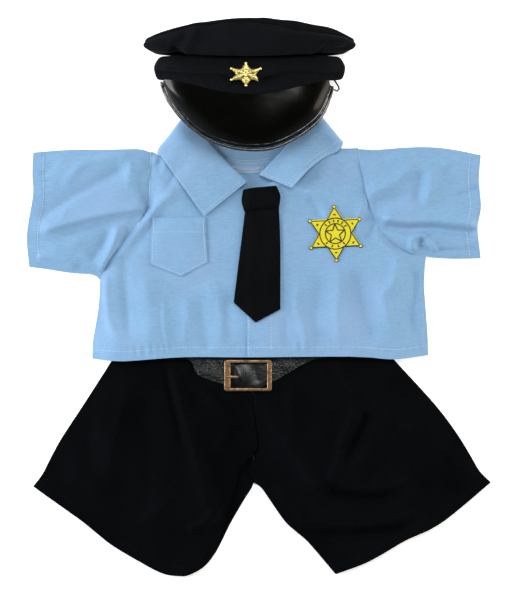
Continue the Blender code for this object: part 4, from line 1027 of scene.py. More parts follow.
sleeveCreases = {
    "right": [
        (((-85, 67.7), (-104, 64.5), (-123, 61), (-145, 55), (-167, 48.6)), 2.7, 2.4, 8.0, 0.04, 0.15),
        (((-88, 60), (-112, 56), (-140, 48), (-162, 42)), -1.5, 5.0, 3.0, 0.1, 0.3),
        (((-96, 99), (-112, 91), (-136.5, 77.8), (-159, 63.2), (-169, 59.8)), -2.1, 3.6, 6.0, 0.15, 0.15),
        (((-91.6, 108), (-112, 105), (-129.8, 101.4), (-142.2, 89), (-143.3, 77)), 1.7, 3.4, 6.0, 0.2, 0.35),
        (((-95.5, 104), (-97, 92), (-98.5, 80)), 1.2, 3.4, 3.6, 0.2, 0.4),
        (((-86, 96), (-89, 86), (-88, 76)), -0.9, 2.6, 2.6, 0.2, 0.4),
        (((-107, 59), (-106, 50), (-110.7, 36), (-118.6, 21)), 2.5, 3.0, 3.2, 0.25, 0.05),
        (((-113, 56), (-114, 46), (-120, 34), (-128, 27)), -1.9, 3.0, 6.5, 0.3, 0.2),
        (((-99, 56), (-100, 48), (-105, 40)), -1.2, 2.6, 2.6, 0.3, 0.2),
        (((-167, 30.6), (-154.5, 29.5), (-142.2, 25), (-137, 21)), 1.5, 4.5, 2.2, 0.1, 0.15),
        (((-144.5, 68), (-146, 63), (-147.5, 58)), 0.6, 1.6, 1.6, 0.3, 0.3),
        (((-150, 104), (-158, 96), (-166, 93)), -0.8, 3.0, 4.0, 0.3, 0.2),
        (((-128, 44), (-144, 40), (-160, 40)), 0.8, 4.0, 4.0, 0.3, 0.3)],
    "left": [
        (((91.9, 60), (108, 57), (130.9, 57.6), (147.6, 55.6), (165, 54)), 2.4, 7.0, 2.6, 0.08, 0.1),
        (((93, 55), (108.6, 51.5), (130.9, 52), (147.6, 50), (165, 49)), -2.3, 2.4, 2.6, 0.06, 0.1),
        (((126, 47.5), (119, 46.5), (114.5, 42), (117, 34)), 1.9, 1.8, 2.2, 0.15, 0.2),
        (((124, 44), (121, 42), (120.5, 37)), -1.6, 1.5, 1.8, 0.2, 0.2),
        (((127.5, 46), (129, 40), (133, 34)), 1.5, 1.8, 2.2, 0.1, 0.2),
        (((132, 36.6), (146, 36.4), (164.5, 36.6)), -0.9, 1.2, 1.4, 0.1, 0.05),
        (((80.7, 76.5), (99.7, 85.7), (110, 94), (119.7, 104)), 1.3, 5.0, 3.4, 0.1, 0.3),
        (((84, 70), (100, 74), (116, 80)), -1.2, 4.0, 5.0, 0.1, 0.4),
        (((130.9, 101), (129.8, 87), (126.4, 67)), 1.5, 3.2, 6.5, 0.2, 0.25),
        (((122, 98), (121, 84), (118, 68)), -1.2, 4.0, 5.0, 0.25, 0.25),
        (((135.4, 92), (142, 97), (149.8, 101)), -0.9, 1.8, 2.2, 0.2, 0.3),
        (((146, 76), (155, 79), (165, 84)), -0.9, 1.8, 2.2, 0.2, 0.1),
        (((88, 66), (96, 60), (108, 62), (122, 66)), 0.9, 3.6, 3.0, 0.1, 0.4),
        (((92, 104), (106, 106), (122, 108)), 0.7, 3.0, 4.0, 0.2, 0.4)]}


def makeSleeve(side):
    outward = -1 if side == "right" else 1
    lines = {k: smoothPath(np.array(v, float), 2.0) for k, v in sleeveSeams[side].items()}
    head = lines["armhole"]
    away = np.gradient(head, axis=0)
    away = np.column_stack([away[:, 1], -away[:, 0]]) / np.linalg.norm(away, axis=1, keepdims=True)
    if (away[:, 0] * outward).mean() < 0:
        away = -away
    head = head + away * sleeves["gap"]
    rows, count = sleeves["along"], sleeves["across"]
    shares, evenly = np.linspace(0, 1, count), np.linspace(0, 1, rows)
    start, stop = resample(head, shares), resample(lines["cuff"], shares)
    upper = resample(lines["top"], evenly) + (head[0] - lines["top"][0]) * (1 - evenly)[:, None]
    lower = resample(lines["underarm"], evenly) + (head[-1] - lines["underarm"][0]) * (1 - evenly)[:, None]
    u, t = evenly[:, None, None], shares[None, :, None]
    corners = ((upper[0] * (1 - u) + upper[-1] * u) * (1 - t) + (lower[0] * (1 - u) + lower[-1] * u) * t)
    flat = upper[:, None] * (1 - t) + lower[:, None] * t + start[None] * (1 - u) + stop[None] * u - corners
    radius, wall, low = sleeves["foldRadius"], sleeves["wall"], sleeves["low"]
    places = flat.reshape(-1, 2)
    fromTop = nearPath(places, upper)[0].reshape(rows, count)
    fromSeam = nearPath(places, lower)[0].reshape(rows, count)
    fromBody = nearPath(places, start)[0].reshape(rows, count)
    fromCuff = nearPath(places, stop)[0].reshape(rows, count)
    full = ease(fromTop / 13) * ease(fromSeam / 13) * (0.35 + 0.65 * ease(fromBody / 9))
    openness = 1 - 0.25 * ease((18 - fromCuff) / 18)
    folds = sleeves["depth"][side] * creaseField(places, sleeveCreases[side])
    folds += ripples(places, 41 + outward, 34, 0.32)
    folds = folds.reshape(rows, count) * ease(fromTop / 5) * ease(fromSeam / 5)
    hem = hemShape(places, stop, sleeves["cuffDepth"], 0.35, 0.34, 5.4, 53 + outward)
    hem = hem.reshape(rows, count)
    pull = seamShape(places, start, 0.5, 1.8, 0.4, 6.0, 8).reshape(rows, count)
    rise = full * sleeves["fullness"] * openness + folds + hem * ease(fromSeam / 4) + pull * ease(fromTop / 4)
    rise = np.maximum(rise, -0.15)
    closed = 1 - ease(fromSeam / 2.5)
    top = 2 * radius + rise - closed * (2 * radius - 2 * wall - low)
    # from the underarm seam along the lower layer, round the fold and back along the upper one
    foldAt, inward = flat[:, 0], flat[:, 3] - flat[:, 0]
    inward = inward / np.linalg.norm(inward, axis=1, keepdims=True)
    outer, inner = [], []
    for r in range(rows):
        outside, within = [], []
        under = np.maximum(0, folds[r]) * 0.12 * ease(fromSeam[r] / 10) * ease(fromTop[r] / 10)
        for c in range(count - 1, 1, -1):
            outside.append((*flat[r, c], low + under[c]))
            within.append((*flat[r, c], low + wall + under[c]))
        for turn in np.radians(np.linspace(-80, 80, 11)):
            for line, reach in ((outside, radius), (within, radius - wall)):
                at = foldAt[r] + inward[r] * (radius - reach * math.cos(turn))
                lifted = rise[r, 0] if turn > 0 else 0
                line.append((*at, low + radius + reach * math.sin(turn) + lifted))
        for c in range(2, count):
            outside.append((*flat[r, c], top[r, c]))
            within.append((*flat[r, c], top[r, c] - wall))
        outer.append(outside)
        inner.append(within)
    outer, inner = np.array(outer), np.array(inner)
    piece = gridWall(f"sleeve{side.capitalize()}", outer, inner, blue, False, f"sleeve_{side}",
                     70)
    declareSheet(piece, (gridSpan(outer, 1), gridSpan(outer, 0)))
    upperGrid = outer[:, -count + 2:]
    n, m = upperGrid.shape[:2]
    faces = [(r * m + c, r * m + c + 1, (r + 1) * m + c + 1, (r + 1) * m + c)
             for r in range(n - 1) for c in range(m - 1)]
    return (upperGrid.reshape(-1, 3), faces), stop


sleeveSides = {side: makeSleeve(side) for side in ("right", "left")}
print("sleeves made")

pocket = {"grid": 1.5, "wall": 0.9, "above": 1.15, "hem": 10.0, "edge": 1.6,
          "opening": ((-40.5, 59.7), (-80.5, 59.7))}
# near its top, above tuckFrom, the blade reaches up under the knot by its tuck
tie = {"grid": 1.6, "wall": 1.2, "above": 1.0, "crown": 1.1, "knotCrown": 1.6, "tuck": 0.34, "tuckFrom": 58,
       "knotAbove": 2.6, "knotHigh": 11.5}
# path, rise, widths to its left and right, fades at its ends
tieCreases = [
    (((-12, 60), (-8, 40), (-12, 12), (-14, -6)), -0.35, 3.0, 3.0, 0.2, 0.3),
    (((8, 62), (10, 40), (8, 10), (7, -10)), 0.4, 3.0, 4.0, 0.2, 0.3),
    (((-6, 62), (-2, 48), (0, 30)), 0.5, 2.0, 3.0, 0.05, 0.5),
    (((4, 63), (4, 50), (6, 34)), -0.5, 2.4, 2.0, 0.05, 0.5),
    (((-14, 24), (0, 18), (14, 20)), 0.25, 4.0, 5.0, 0.3, 0.3),
]
knotCreases = [
    (((-12, 72), (0, 69), (14, 73)), 0.6, 2.4, 2.6, 0.2, 0.2),
    (((-9, 79), (-6, 72), (-7, 66)), -0.5, 1.6, 1.8, 0.2, 0.2),
    (((9, 82), (8, 75), (10, 68)), 0.5, 1.8, 1.8, 0.2, 0.2),
    (((-2, 81), (1, 75), (1, 66)), 0.4, 1.6, 2.0, 0.2, 0.2),
]
collarTable = [
    # neck edge, roll and outer edge; turn is 0 over the front and 180 behind; side
    (-17, 84, -10, 86.5, -41.5, 61, 0, -1), (-31, 92, -26, 102, -52, 76, 0, -1),
    (-43.5, 105, -40, 118.5, -63.5, 92, 0, -1), (-50, 117, -48.5, 137, -73, 105.5, 10, -1),
    (-51.5, 121, -50, 142, -76, 111, 90, -1), (-47.5, 119, -47, 139, -69, 117.5, 170, -1),
    (-33, 103.5, -32, 126, -45, 119.5, 180, -0.6), (-7, 95.5, -7, 118.5, -7, 100.5, 180, 0),
    (22, 103.5, 23, 125.5, 33, 118.5, 180, 0.6), (36, 117, 39, 136, 56, 120.5, 170, 1),
    (39.5, 120, 42, 139.5, 63, 117, 90, 1), (38, 116.5, 40.5, 135, 59.5, 110.5, 10, 1),
    (32, 108.5, 30, 123, 50, 106, 0, 1), (23, 98, 16, 107, 38, 97, 0, 1),
    (8, 88.5, 1.5, 92, 24.5, 82.5, 0, 1)]
collar = {"step": 2.2, "wall": 0.8, "fold": 1.15, "stitchAbove": 0.55,
          # levels: above the shirt at the front, and above the floor behind
          "neckAbove": 0.55, "edgeAbove": 1.1, "leafClear": 0.62, "neckBehind": 1.55, "rollBehind": 2.9,
          "edgeBehind": 0.5,
          # how high each leaf's edge lifts, and how quickly that comes and goes along it
          "right": (0.6, 34), "left": (6.5, 28)}


def shirtHeights(points):
    made = []
    for x, y in points[:, :2]:
        hit = shirtTop.tree.ray_cast(Vector((x, y, 500)), Vector((0, 0, -1)))[0]
        made.append(np.nan if hit is None else hit.z)
    return np.array(made)


def makePocket():
    panel = Panel("chest_pocket", pocket["grid"])
    flat = panel.flat
    room = panel.room()
    opening = panel.edge(*pocket["opening"])
    panel.top = shirtTop.heights(flat) + pocket["above"] + 0.5 * ease(room / 8)
    panel.top += ripples(flat, 61, 20, 0.18) - 0.35 * np.exp(-(room / 0.8) ** 2) * (flat[:, 1] < 58)
    panel.top += hemShape(flat, opening, pocket["hem"], 0.3, 0.1, 8.0, 71)
    sideRoom = nearPath(flat, panel.edge(*pocket["opening"][::-1]))[0]
    panel.top -= 0.18 * np.exp(-((sideRoom - pocket["edge"]) / 0.6) ** 2)
    panel.top = smoothed(panel.top, panel.triangles, 1)
    piece = panel.make("chestPocket", blue, "shirt_cotton", pocket["wall"])
    declareSheet(piece)
    return panel


def makeTie():
    blade = Panel("tie_blade", tie["grid"], 20)
    room = blade.room()
    blade.flat[:, 1] += tie["tuck"] * ease((blade.flat[:, 1] - tie["tuckFrom"]) / 4)
    base = smoothed(shirtTop.heights(blade.flat), blade.triangles, 30)
    base = np.maximum(base, shirtTop.heights(blade.flat) + 0.05)
    blade.top = base + tie["above"] + tie["wall"] - 0.3 + tie["crown"] * ease(room / 9) * 0.7
    blade.top += creaseField(blade.flat, tieCreases) * ease(room / 3)
    blade.top += ripples(blade.flat, 67, 24, 0.12)
    blade.top -= 0.6 * np.exp(-(room / 0.8) ** 2)
    piece = blade.make("tieBlade", tieCloth, "tie_cloth", tie["wall"])
    declareSheet(piece)
    knot = Panel("tie_knot", tie["grid"] * 0.75, 10)
    room, under = knot.room(), shirtTop.heights(knot.flat) + 0.25
    knot.top = under + tie["knotAbove"] + tie["knotCrown"] * ease(room / 6)
    knot.top += creaseField(knot.flat, knotCreases) * ease(room / 2) - 1.2 * np.exp(-(room / 1.0) ** 2)
    knot.top = np.minimum(knot.top, tie["knotHigh"])
    piece = knot.make("tieKnot", tieCloth, "tie_cloth", 0, np.minimum(under, knot.top - 0.8))
    declareSheet(piece)


pocketPanel = makePocket()
makeTie()
print("pocket and tie made")


fallStart = 20  # of the points across the collar, the first of the leaf


def makeCollar():
    rows = smoothPath(np.array(collarTable, float), collar["step"])
    middle, turns = [], []
    neckShare, fallShare = np.linspace(0, 0.86, 9), np.linspace(0.06, 1, 20)
    for k, (nx, ny, rx, ry, fx, fy, turn, side) in enumerate(rows):
        over = math.cos(math.radians(turn))
        out = np.array([math.copysign(math.sin(math.radians(turn)), side) if side else 0.0, 0, over])
        share = ease((over + 1) / 2)
        places = np.array([[nx, ny], [rx, ry], [fx, fy]])
        nearby = np.nan_to_num(shirtHeights(places), nan=2.4)
        low = nearby[0] + collar["neckAbove"]
        neck = np.array([nx, ny, low * share + collar["neckBehind"] * (1 - share)])
        roll = np.array([rx, ry, low * share + collar["rollBehind"] * (1 - share)])
        ahead = roll - neck
        ahead[2] = 0
        ahead = ahead / np.linalg.norm(ahead)
        section = [neck + (roll - neck) * t for t in neckShare]
        for angle in np.radians(np.linspace(0, 180, 11)):
            section.append(roll + collar["fold"] * ((1 - math.cos(angle)) * out + math.sin(angle) * ahead))
        start = section[-1]
        level = (nearby[2] + collar["edgeAbove"]) * share + collar["edgeBehind"] * (1 - share)
        edge = np.array([fx, fy, level])
        alongLeaf = k / (len(rows) - 1)
        for t in fallShare:
            point = start + (edge - start) * t
            if over > 0.35:
                lift, pace = collar["right" if side < 0 else "left"]
                wave = 0.5 + 0.5 * math.sin(alongLeaf * pace)
                point[2] += lift * t ** 2 * wave * over + 0.9 * math.sin(math.pi * t) * over
            section.append(point)
        middle.append(section)
        turns.append(over)
    middle, turns = np.array(middle), np.array(turns)
    # the leaf, past the stand and the roll, stays clear of the shirt and is a little uneven
    fall = middle[:, fallStart:]
    ground = shirtHeights(fall.reshape(-1, 3)).reshape(fall.shape[:2])
    clear = np.where(np.isnan(ground), -1, ground + collar["leafClear"])
    clear = np.where(turns[:, None] > 0.1, clear, -1)
    uneven = 0.12 * np.sin(fall[:, :, 0] / 3.1 + np.cos(fall[:, :, 1] / 4.7) * 2) * (turns[:, None] > 0.5)
    fall[:, :, 2] = np.maximum(fall[:, :, 2], clear) + uneven
    normals = gridNormals(middle)
    outer, inner = middle + normals * collar["wall"] / 2, middle - normals * collar["wall"] / 2
    piece = gridWall("shirtCollar", outer, inner, blue, False, "collar", 70)
    cut = (gridSpan(middle, 0), gridSpan(middle, 1))
    declareSheet(piece, cut)
    return middle, turns


collarMiddle, collarTurns = makeCollar()
print("collar made")


cap = {"axis": -7.0, "wall": 1.2, "around": 216, "bandRows": 30, "sideRows": 34, "topRows": 20,
       "dentAngle": 62.0, "dentWidth": 24.0, "dentDepth": 5.0, "bulge": 4.0, "sag": 2.2, "bandCrease": 1.6,
       "crownCrease": 1.4, "low": 0.03}
# half width, y at the side, at the front and at the back, middle z, half height, power
capBandRows = [(68.6, 162.5, 150.8, 163.5, 18, 20, 4), (70.0, 166.5, 161.5, 167, 18, 20.5, 4),
               (70.5, 173, 169.5, 173, 18.5, 23.5, 4), (67.0, 180.2, 178.0, 180, 18.5, 21.5, 4)]
capSideRows = [(67.0, 180.7, 178.5, 180.5, 18.5, 21.5, 4), (73.0, 183.5, 180.5, 183, 21, 26, 3),
               (77.5, 187.2, 191.5, 189, 23, 27, 2), (78.0, 190.5, 206.6, 200, 22.5, 23.5, 2)]
capTopRings = [(0.998, 0.2), (0.985, 0.5), (0.8, 2.6), (0.55, 3.6), (0.28, 4.2), (0.06, 4.4)]
# path, rise, widths to its left and right, fades at its ends; on the side that lies up
bandCreases = [
    (((-78, 168), (-66, 168), (-56, 167), (-44, 166), (-28, 165.6), (-18, 162), (-2, 161.6), (8, 163.6),
      (18, 166.4), (34, 167.4), (48, 166.4), (62, 167)), -2.0, 1.4, 2.6, 0.05, 0.05),
    (((-76, 171), (-58, 170.6), (-40, 169.6), (-24, 168.4), (-10, 166.4), (4, 166.4), (18, 169.6),
      (36, 170.6), (58, 170)), 1.5, 5.0, 2.4, 0.08, 0.08),
    (((1, 158), (4, 161), (9, 164)), -1.2, 1.6, 1.8, 0.1, 0.3),
    (((-3, 160), (0, 163), (3, 166)), 0.9, 1.6, 1.4, 0.2, 0.3),
    (((-70, 177), (-60, 174), (-50, 172)), 0.7, 2.6, 3.0, 0.3, 0.3),
    (((38, 178), (52, 174), (62, 169)), 0.6, 3.0, 4.0, 0.2, 0.3),
    (((-34, 177), (-20, 175.5), (4, 176), (26, 178)), -0.8, 2.0, 2.0, 0.3, 0.3),
]
crownCreases = [
    (((-45, 203), (-46.5, 194), (-50, 187), (-55, 181)), 1.9, 2.6, 6.0, 0.25, 0.15),
    (((-57, 179), (-61, 183), (-65, 187)), -3.0, 3.2, 2.6, 0.0, 0.35),
    (((-52, 196), (-56, 190), (-60, 185)), -1.2, 3.0, 2.6, 0.3, 0.2),
    (((-68, 188), (-60, 190), (-54, 194)), 1.0, 3.0, 3.0, 0.2, 0.3),
    (((34, 181), (41, 184), (47, 189), (57, 188.6), (68, 190.4)), 2.0, 4.0, 1.5, 0.15, 0.2),
    (((38, 180), (48, 184.4), (60, 184.6), (68, 187)), -2.6, 2.4, 2.6, 0.2, 0.2),
    (((-20, 180), (8, 182), (30, 181)), 1.2, 3.4, 1.5, 0.3, 0.3),
    (((-50, 180), (-30, 181), (-18, 180)), 0.9, 3.0, 1.5, 0.3, 0.3),
    (((-28, 204), (-24, 196), (-26, 188)), 0.7, 5.0, 5.0, 0.2, 0.4),
    (((12, 202), (16, 194), (12, 187)), 0.6, 6.0, 5.0, 0.2, 0.4),
    (((44, 198), (36, 196), (26, 197)), 0.8, 2.6, 3.0, 0.2, 0.4),
]
peak = {"across": 96, "deep": 34, "thick": 1.5, "crown": 1.0, "binding": 1.25, "gap": 0.15,
        "bindingAround": 16,
        "rim": ((-71.5, 161.5, 21), (-69.3, 154.5, 20.5), (-64.8, 145.5, 21.5), (-54.2, 132.3, 24),
                (-38.9, 120.3, 27), (-20.8, 113.3, 29), (-5, 111.4, 30), (10.8, 113, 29.5),
                (27.3, 120.6, 27.5), (41.2, 131, 25.5), (47.6, 140, 23.5), (51.8, 151, 22.5), (53.5, 158, 24))}


def capRing(row, count):
    half, side, front, back, middleZ, halfZ, power = row
    angle = np.arange(count) * 2 * math.pi / count
    up = np.sin(angle)
    x = cap["axis"] + half * np.cos(angle)
    z = np.maximum(cap["low"], middleZ + halfZ * up)
    reach = np.where(up > 0, front, back)
    return np.column_stack([x, side + (reach - side) * np.abs(up) ** power, z])


def capGrid(rows, count):
    # the cloth between the rings of a table
    table = smoothPath(np.array(rows, float), 0.8)
    return np.array([capRing(row, cap["around"]) for row in resample(table, np.linspace(0, 1, count))])


def pushed(grid, amount):
    normal = gridNormals(grid, True)
    middle = grid.mean(axis=1, keepdims=True)
    if ((grid - middle) * normal).sum() < 0:
        normal = -normal
    return grid + normal * amount[:, :, None], normal


def capNormals(grid):
    return pushed(grid, np.zeros(grid.shape[:2]))[1]


def lyingUp(grid):
    # 1 where the cap's cloth faces up as it lies, 0 on its lower side
    return ease(capNormals(grid)[:, :, 2] * 2.2)


def capPiece(name, node, grid, amount):
    outer, normal = pushed(grid, amount)
    outer[:, :, 2] = np.maximum(outer[:, :, 2], cap["low"])
    inner = outer - normal * cap["wall"]
    inner[:, :, 2] = np.maximum(inner[:, :, 2], cap["low"] + cap["wall"] * 0.8)
    piece = gridWall(name, outer, inner, capCloth, True, node, 70)
    declareSheet(piece, (gridSpan(outer, 1, True), gridSpan(outer, 0)))
    return outer


def capAngles():
    return np.arange(cap["around"]) * 2 * math.pi / cap["around"]


def makeCapBand():
    band = capGrid(capBandRows, cap["bandRows"])
    up, angles = lyingUp(band), capAngles()
    share = np.linspace(0, 1, cap["bandRows"])[:, None]
    turnIn = -1.0 * np.exp(-(share / 0.05) ** 2) - 1.0 * np.exp(-((1 - share) / 0.05) ** 2)
    hem = -0.45 * np.exp(-((share - 0.13) / 0.025) ** 2)
    waves = 0.3 * np.sin(angles * 42 + np.sin(angles * 7) * 2)[None] * np.exp(-((share - 0.16) / 0.12) ** 2)
    crease = cap["bandCrease"] * creaseField(band.reshape(-1, 3), bandCreases).reshape(band.shape[:2]) * up
    puff = 1.2 * np.sin(math.pi * share) * up
    return capPiece("capBand", "cap_band", band, crease + puff + turnIn + hem + waves)


def makeCapCrown():
    side, angles = capGrid(capSideRows, cap["sideRows"]), capAngles()
    away = (np.mod(np.degrees(angles) - cap["dentAngle"] + 180, 360) - 180) / cap["dentWidth"]
    share = np.linspace(0, 1, cap["sideRows"])[:, None]
    side[:, :, 1] -= cap["dentDepth"] * np.exp(-away ** 2)[None] * ease((share - 0.55) / 0.45)
    side[:, :, 1] -= cap["sag"] * np.exp(-((side[:, :, 0] + 34) / 28) ** 2) * ease((share - 0.35) / 0.6)
    up = lyingUp(side)
    crease = cap["crownCrease"] * creaseField(side.reshape(-1, 3), crownCreases).reshape(side.shape[:2]) * up
    turnIn = -1.1 * np.exp(-(share / 0.05) ** 2) - 1.2 * np.exp(-((1 - share) / 0.035) ** 2)
    puff = 2.2 * np.sin(math.pi * share) * up
    hidden = 0.8 * np.sin(angles * 9)[None] * np.sin(math.pi * share) * (1 - up)
    capPiece("capCrownSide", "cap_crown_side", side, crease + puff + turnIn + hidden * 0.5)
    makeCapTop(side[-1])


def makeCapTop(rim):
    around, centre = cap["around"], rim.mean(0)
    table = smoothPath(np.array(capTopRings), 0.03)
    table = resample(table, np.linspace(0, 1, cap["topRows"]))
    rings = []
    for scale, bulge in table:
        ring = centre + (rim - centre) * (scale, scale ** 1.5, scale)
        rings.append(ring + (0, 1.7 + bulge * 0.8, 0))
    rings = np.array(rings)
    # on the wearer's left the top bulges past its sunken seam
    bulge = cap["bulge"] * np.exp(-((rings[:, :, 0] - 36) / 26) ** 2)
    wobble = 0.7 * np.sin(rings[:, :, 0] / 9) * np.cos(rings[:, :, 2] / 7)
    wobble += 0.4 * np.sin(rings[:, :, 0] / 4.1 + 1)
    inward = np.linspace(0, 1, cap["topRows"])[:, None]
    rings[:, :, 1] += wobble * ease(inward / 0.3) + bulge * ease(inward / 0.14)
    rings[0, :, 1] -= 1.0
    under = rings - (0, cap["wall"], 0)
    points = np.vstack([rings.reshape(-1, 3), under.reshape(-1, 3)])
    n, half = len(rings), len(rings) * around
    faces = []
    for c in range(around):
        d = (c + 1) % around
        for r in range(n - 1):
            a, b = r * around + c, r * around + d
            faces.append((a, b, b + around, a + around))
            faces.append((half + b, half + a, half + a + around, half + b + around))
        faces.append((c, d, half + d, half + c))
    faces += [tuple(half - around + c for c in range(around)), tuple(2 * half - 1 - c for c in range(around))]
    piece = addMesh("capCrownTop", points, faces, capCloth, "cap_crown_top", 70)
    box = (rim.max(0) - rim.min(0)) / 1000
    declareSheet(piece, (box[0] * 1.02, box[2] * 1.1))


bandOuter = makeCapBand()
makeCapCrown()


def makePeak():
    across, deep = peak["across"], peak["deep"]
    rim = resample(smoothPath(np.array(peak["rim"], float), 2.0), np.linspace(0, 1, across))
    seam = []
    half, side, front, _, middleZ, halfZ, power = capBandRows[0]
    for x in np.linspace(rim[0][0] - cap["axis"], rim[-1][0] - cap["axis"], across):
        up = math.sqrt(max(0.0, 1 - (x / half) ** 2))
        seam.append((cap["axis"] + x, side + (front - side) * up ** power + 0.6, middleZ + halfZ * up - 1.6))
    seam = np.array(seam)
    seam[0], seam[-1] = rim[0] + (1.2, 0.6, 0.6), rim[-1] + (-1.2, 0.4, 0.6)
    grid = []
    spread = np.sin(np.linspace(0, math.pi, across))
    for depth in np.linspace(0, 1, deep):
        row = seam * (1 - depth) + rim * depth
        fall = 0.35 * depth + 0.65 * depth ** 5
        row[:, 2] = seam[:, 2] * (1 - fall) + rim[:, 2] * fall
        row[:, 2] += peak["crown"] * math.sin(math.pi * depth) * spread
        grid.append(row)
    grid = np.array(grid)
    grid[:, :, 2] += 0.12 * np.sin(grid[:, :, 0] / 7) * np.sin(grid[:, :, 1] / 9)
    gridWall("capPeak", grid, grid - (0, 0, peak["thick"]), peakGloss, False, "cap_peak", 50)
    route = grid[-1] - (0, 0, peak["thick"] / 2)
    run = np.gradient(route, axis=0)
    run /= np.linalg.norm(run, axis=1, keepdims=True)
    outward = np.column_stack([run[:, 1], -run[:, 0], 0 * run[:, 0]])
    outward /= np.linalg.norm(outward, axis=1, keepdims=True)
    if outward[across // 2][1] > 0:
        outward = -outward
    middle = route + outward * (peak["binding"] + peak["gap"])
    up = np.cross(run, outward)
    points, around = [], peak["bindingAround"]
    for k, point in enumerate(middle):
        gathers = 1 + 0.05 * math.sin(k * 2.1) + 0.04 * math.sin(k * 0.9 + 1)
        radius = peak["binding"] * gathers * (0.55 if k in (0, across - 1) else 1.0)
        points += [point + (outward[k] * math.cos(a) + up[k] * math.sin(a) * 0.9) * radius
                   for a in np.arange(around) * 2 * math.pi / around]
    addMesh("peakBinding", points, tubeFaces(across, around), binding, "peak_binding", 60)
    # the stitched seam of the binding: a fine raised line inside the rim
    line = grid[-3] + (0, 0, 0.12)
    corners, sides = ribbon(line, 0.5, 0.18)
    addMesh("peakRimLine", corners, sides, binding)


makePeak()
print("cap and peak made")

# the chin elastic leaves the band at one side, shows as a small loop and lies inside the cap
elastic = {"radius": 0.6, "step": 3.0,
           "route": ((54.5, 167, 15), (56.2, 163, 13.5), (59, 159, 11.5), (60, 156.6, 10), (58.4, 155, 9),
                     (55.8, 156.2, 9.5), (51, 161, 9.8), (43, 166, 7.6), (28, 169, 3.8), (8, 166, 2.5),
                     (-14, 168, 2.5), (-34, 166, 2.8), (-50, 167, 5.4), (-62, 168, 9.6), (-69, 168, 14),
                     (-71.2, 168.5, 17))}


def makeElastic():
    route = smoothPath(np.array(elastic["route"], float), elastic["step"])
    line = bpy.data.curves.new("chinElastic", "CURVE")
    line.dimensions = "3D"
    line.bevel_depth = elastic["radius"] * mm
    line.bevel_resolution = 4
    line.use_fill_caps = True
    spline = line.splines.new("POLY")
    spline.points.add(len(route) - 1)
    for place, point in zip(spline.points, route):
        place.co = (*(point * mm), 1)
    line.materials.append(elasticBlack)
    piece = bpy.data.objects.new("chinElastic", line)
    bpy.context.scene.collection.objects.link(piece)
    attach(piece, "root")
    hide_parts("chin_elastic")


makeElastic()


chestStar = {"x": 57.2, "y": 48.4, "turn": -2.5, "wide": 1.07, "tip": 20.0, "hollow": 11.6, "grid": 1.1,
             "wall": 0.6, "above": 0.75, "border": 0.7, "outerRing": 12.0, "innerRing": 7.7, "line": 0.85,
             "ball": 1.45, "dashes": (38, 58, 78, 98, 118, 138, 228, 256, 284, 312), "dash": 0.95,
             "barAt": 14.2, "bar": 1.1}
capStar = {"x": -9.6, "y": 164.9, "tip": 12.4, "hollow": 7.2, "squash": 0.66, "wall": 0.8, "above": 0.55,
           "dome": 0.7, "line": 0.34, "ball": 0.95}


def draped(line, heightAt, lift):
    line = np.asarray(line, float)[:, :2]
    return np.column_stack([line, heightAt(line) + lift])


def denser(line, step):
    # more points along each straight run, with its corners kept
    made = []
    for k in range(len(line) - 1):
        run = line[k:k + 2]
        count = max(2, round(pathLength(run) / step) + 1)
        made.append(resample(run, np.linspace(0, 1, count))[:-1])
    return np.vstack(made + [line[-1:]])


def discs(places, radius, heightAt, low, thick, steps=18):
    # small round domed spots, joined
    shapes = []
    for x, y in places:
        rings, base = [], heightAt(np.array([[x, y]]))[0] + low
        for share, rise in ((1.0, 0.0), (1.0, 0.5), (0.75, 0.9), (0.35, 1.0)):
            ring = ringLine(x, y, radius * share, steps + 1)[:-1]
            rings.append(np.column_stack([ring, np.full(steps, base + thick * rise)]))
        shapes.append((np.vstack(rings), tubeFaces(4, steps)))
    return joinShapes(shapes)


def makeChestStar():
    s = chestStar
    panel = Panel("chest_star", s["grid"], 6, 20)
    base = smoothed(shirtTop.heights(panel.flat), panel.triangles, 14)
    panel.top = np.maximum(base, shirtTop.heights(panel.flat) - 0.3) + s["above"]
    piece = panel.make("chestStar", starYellow, "star_print", s["wall"])
    top = Surface(panel.side())
    edge = starLine(s["x"], s["y"], s["tip"] - 0.3, s["hollow"] - 0.2, 6, s["turn"], 1.0, s["wide"])
    lines = [(denser(edge, 1.0), s["border"])]
    for radius in (s["outerRing"], s["innerRing"]):
        lines.append((ringLine(s["x"], s["y"], radius * 0.97, 72), s["line"]))
    lines.append((denser(starLine(s["x"], s["y"], 7.4, 3.2, 5, -3), 0.6), s["line"]))
    # plain dashes between the rings, over and under the middle, and a bar in each point
    middle = (s["innerRing"] + s["outerRing"]) / 2 - 0.3
    for a in np.radians(s["dashes"]):
        ends = [(s["x"] + r * math.cos(a), s["y"] + r * math.sin(a))
                for r in (middle - 1, middle, middle + 1)]
        lines.append((np.array(ends), s["dash"]))
    points = np.radians(90 - s["turn"] + 60 * np.arange(6))
    for a in points:
        ends = [(s["x"] + s["barAt"] * math.cos(b) * s["wide"], s["y"] + s["barAt"] * math.sin(b))
                for b in (a - 0.06, a, a + 0.06)]
        lines.append((np.array(ends), s["bar"]))
    ribbons = [ribbon(draped(line, top.heights, 0.04), width, 0.12) for line, width in lines]
    corners, sides = joinShapes(ribbons)
    ink = addMesh("chestStarLines", corners, sides, inkBlack)
    reach = s["tip"] + 0.1
    tips = [(s["x"] + reach * math.cos(a) * s["wide"], s["y"] + reach * math.sin(a)) for a in points]
    corners, sides = discs(tips, s["ball"], shirtTop.heights, 0.2, 0.85)
    rims = addMesh("chestStarTipRims", corners, sides, inkBlack)
    corners, sides = discs(tips, s["ball"] * 0.66, shirtTop.heights, 0.9, 0.35)
    balls = addMesh("chestStarTips", corners, sides, starYellow)
    declareSheet(piece, None)


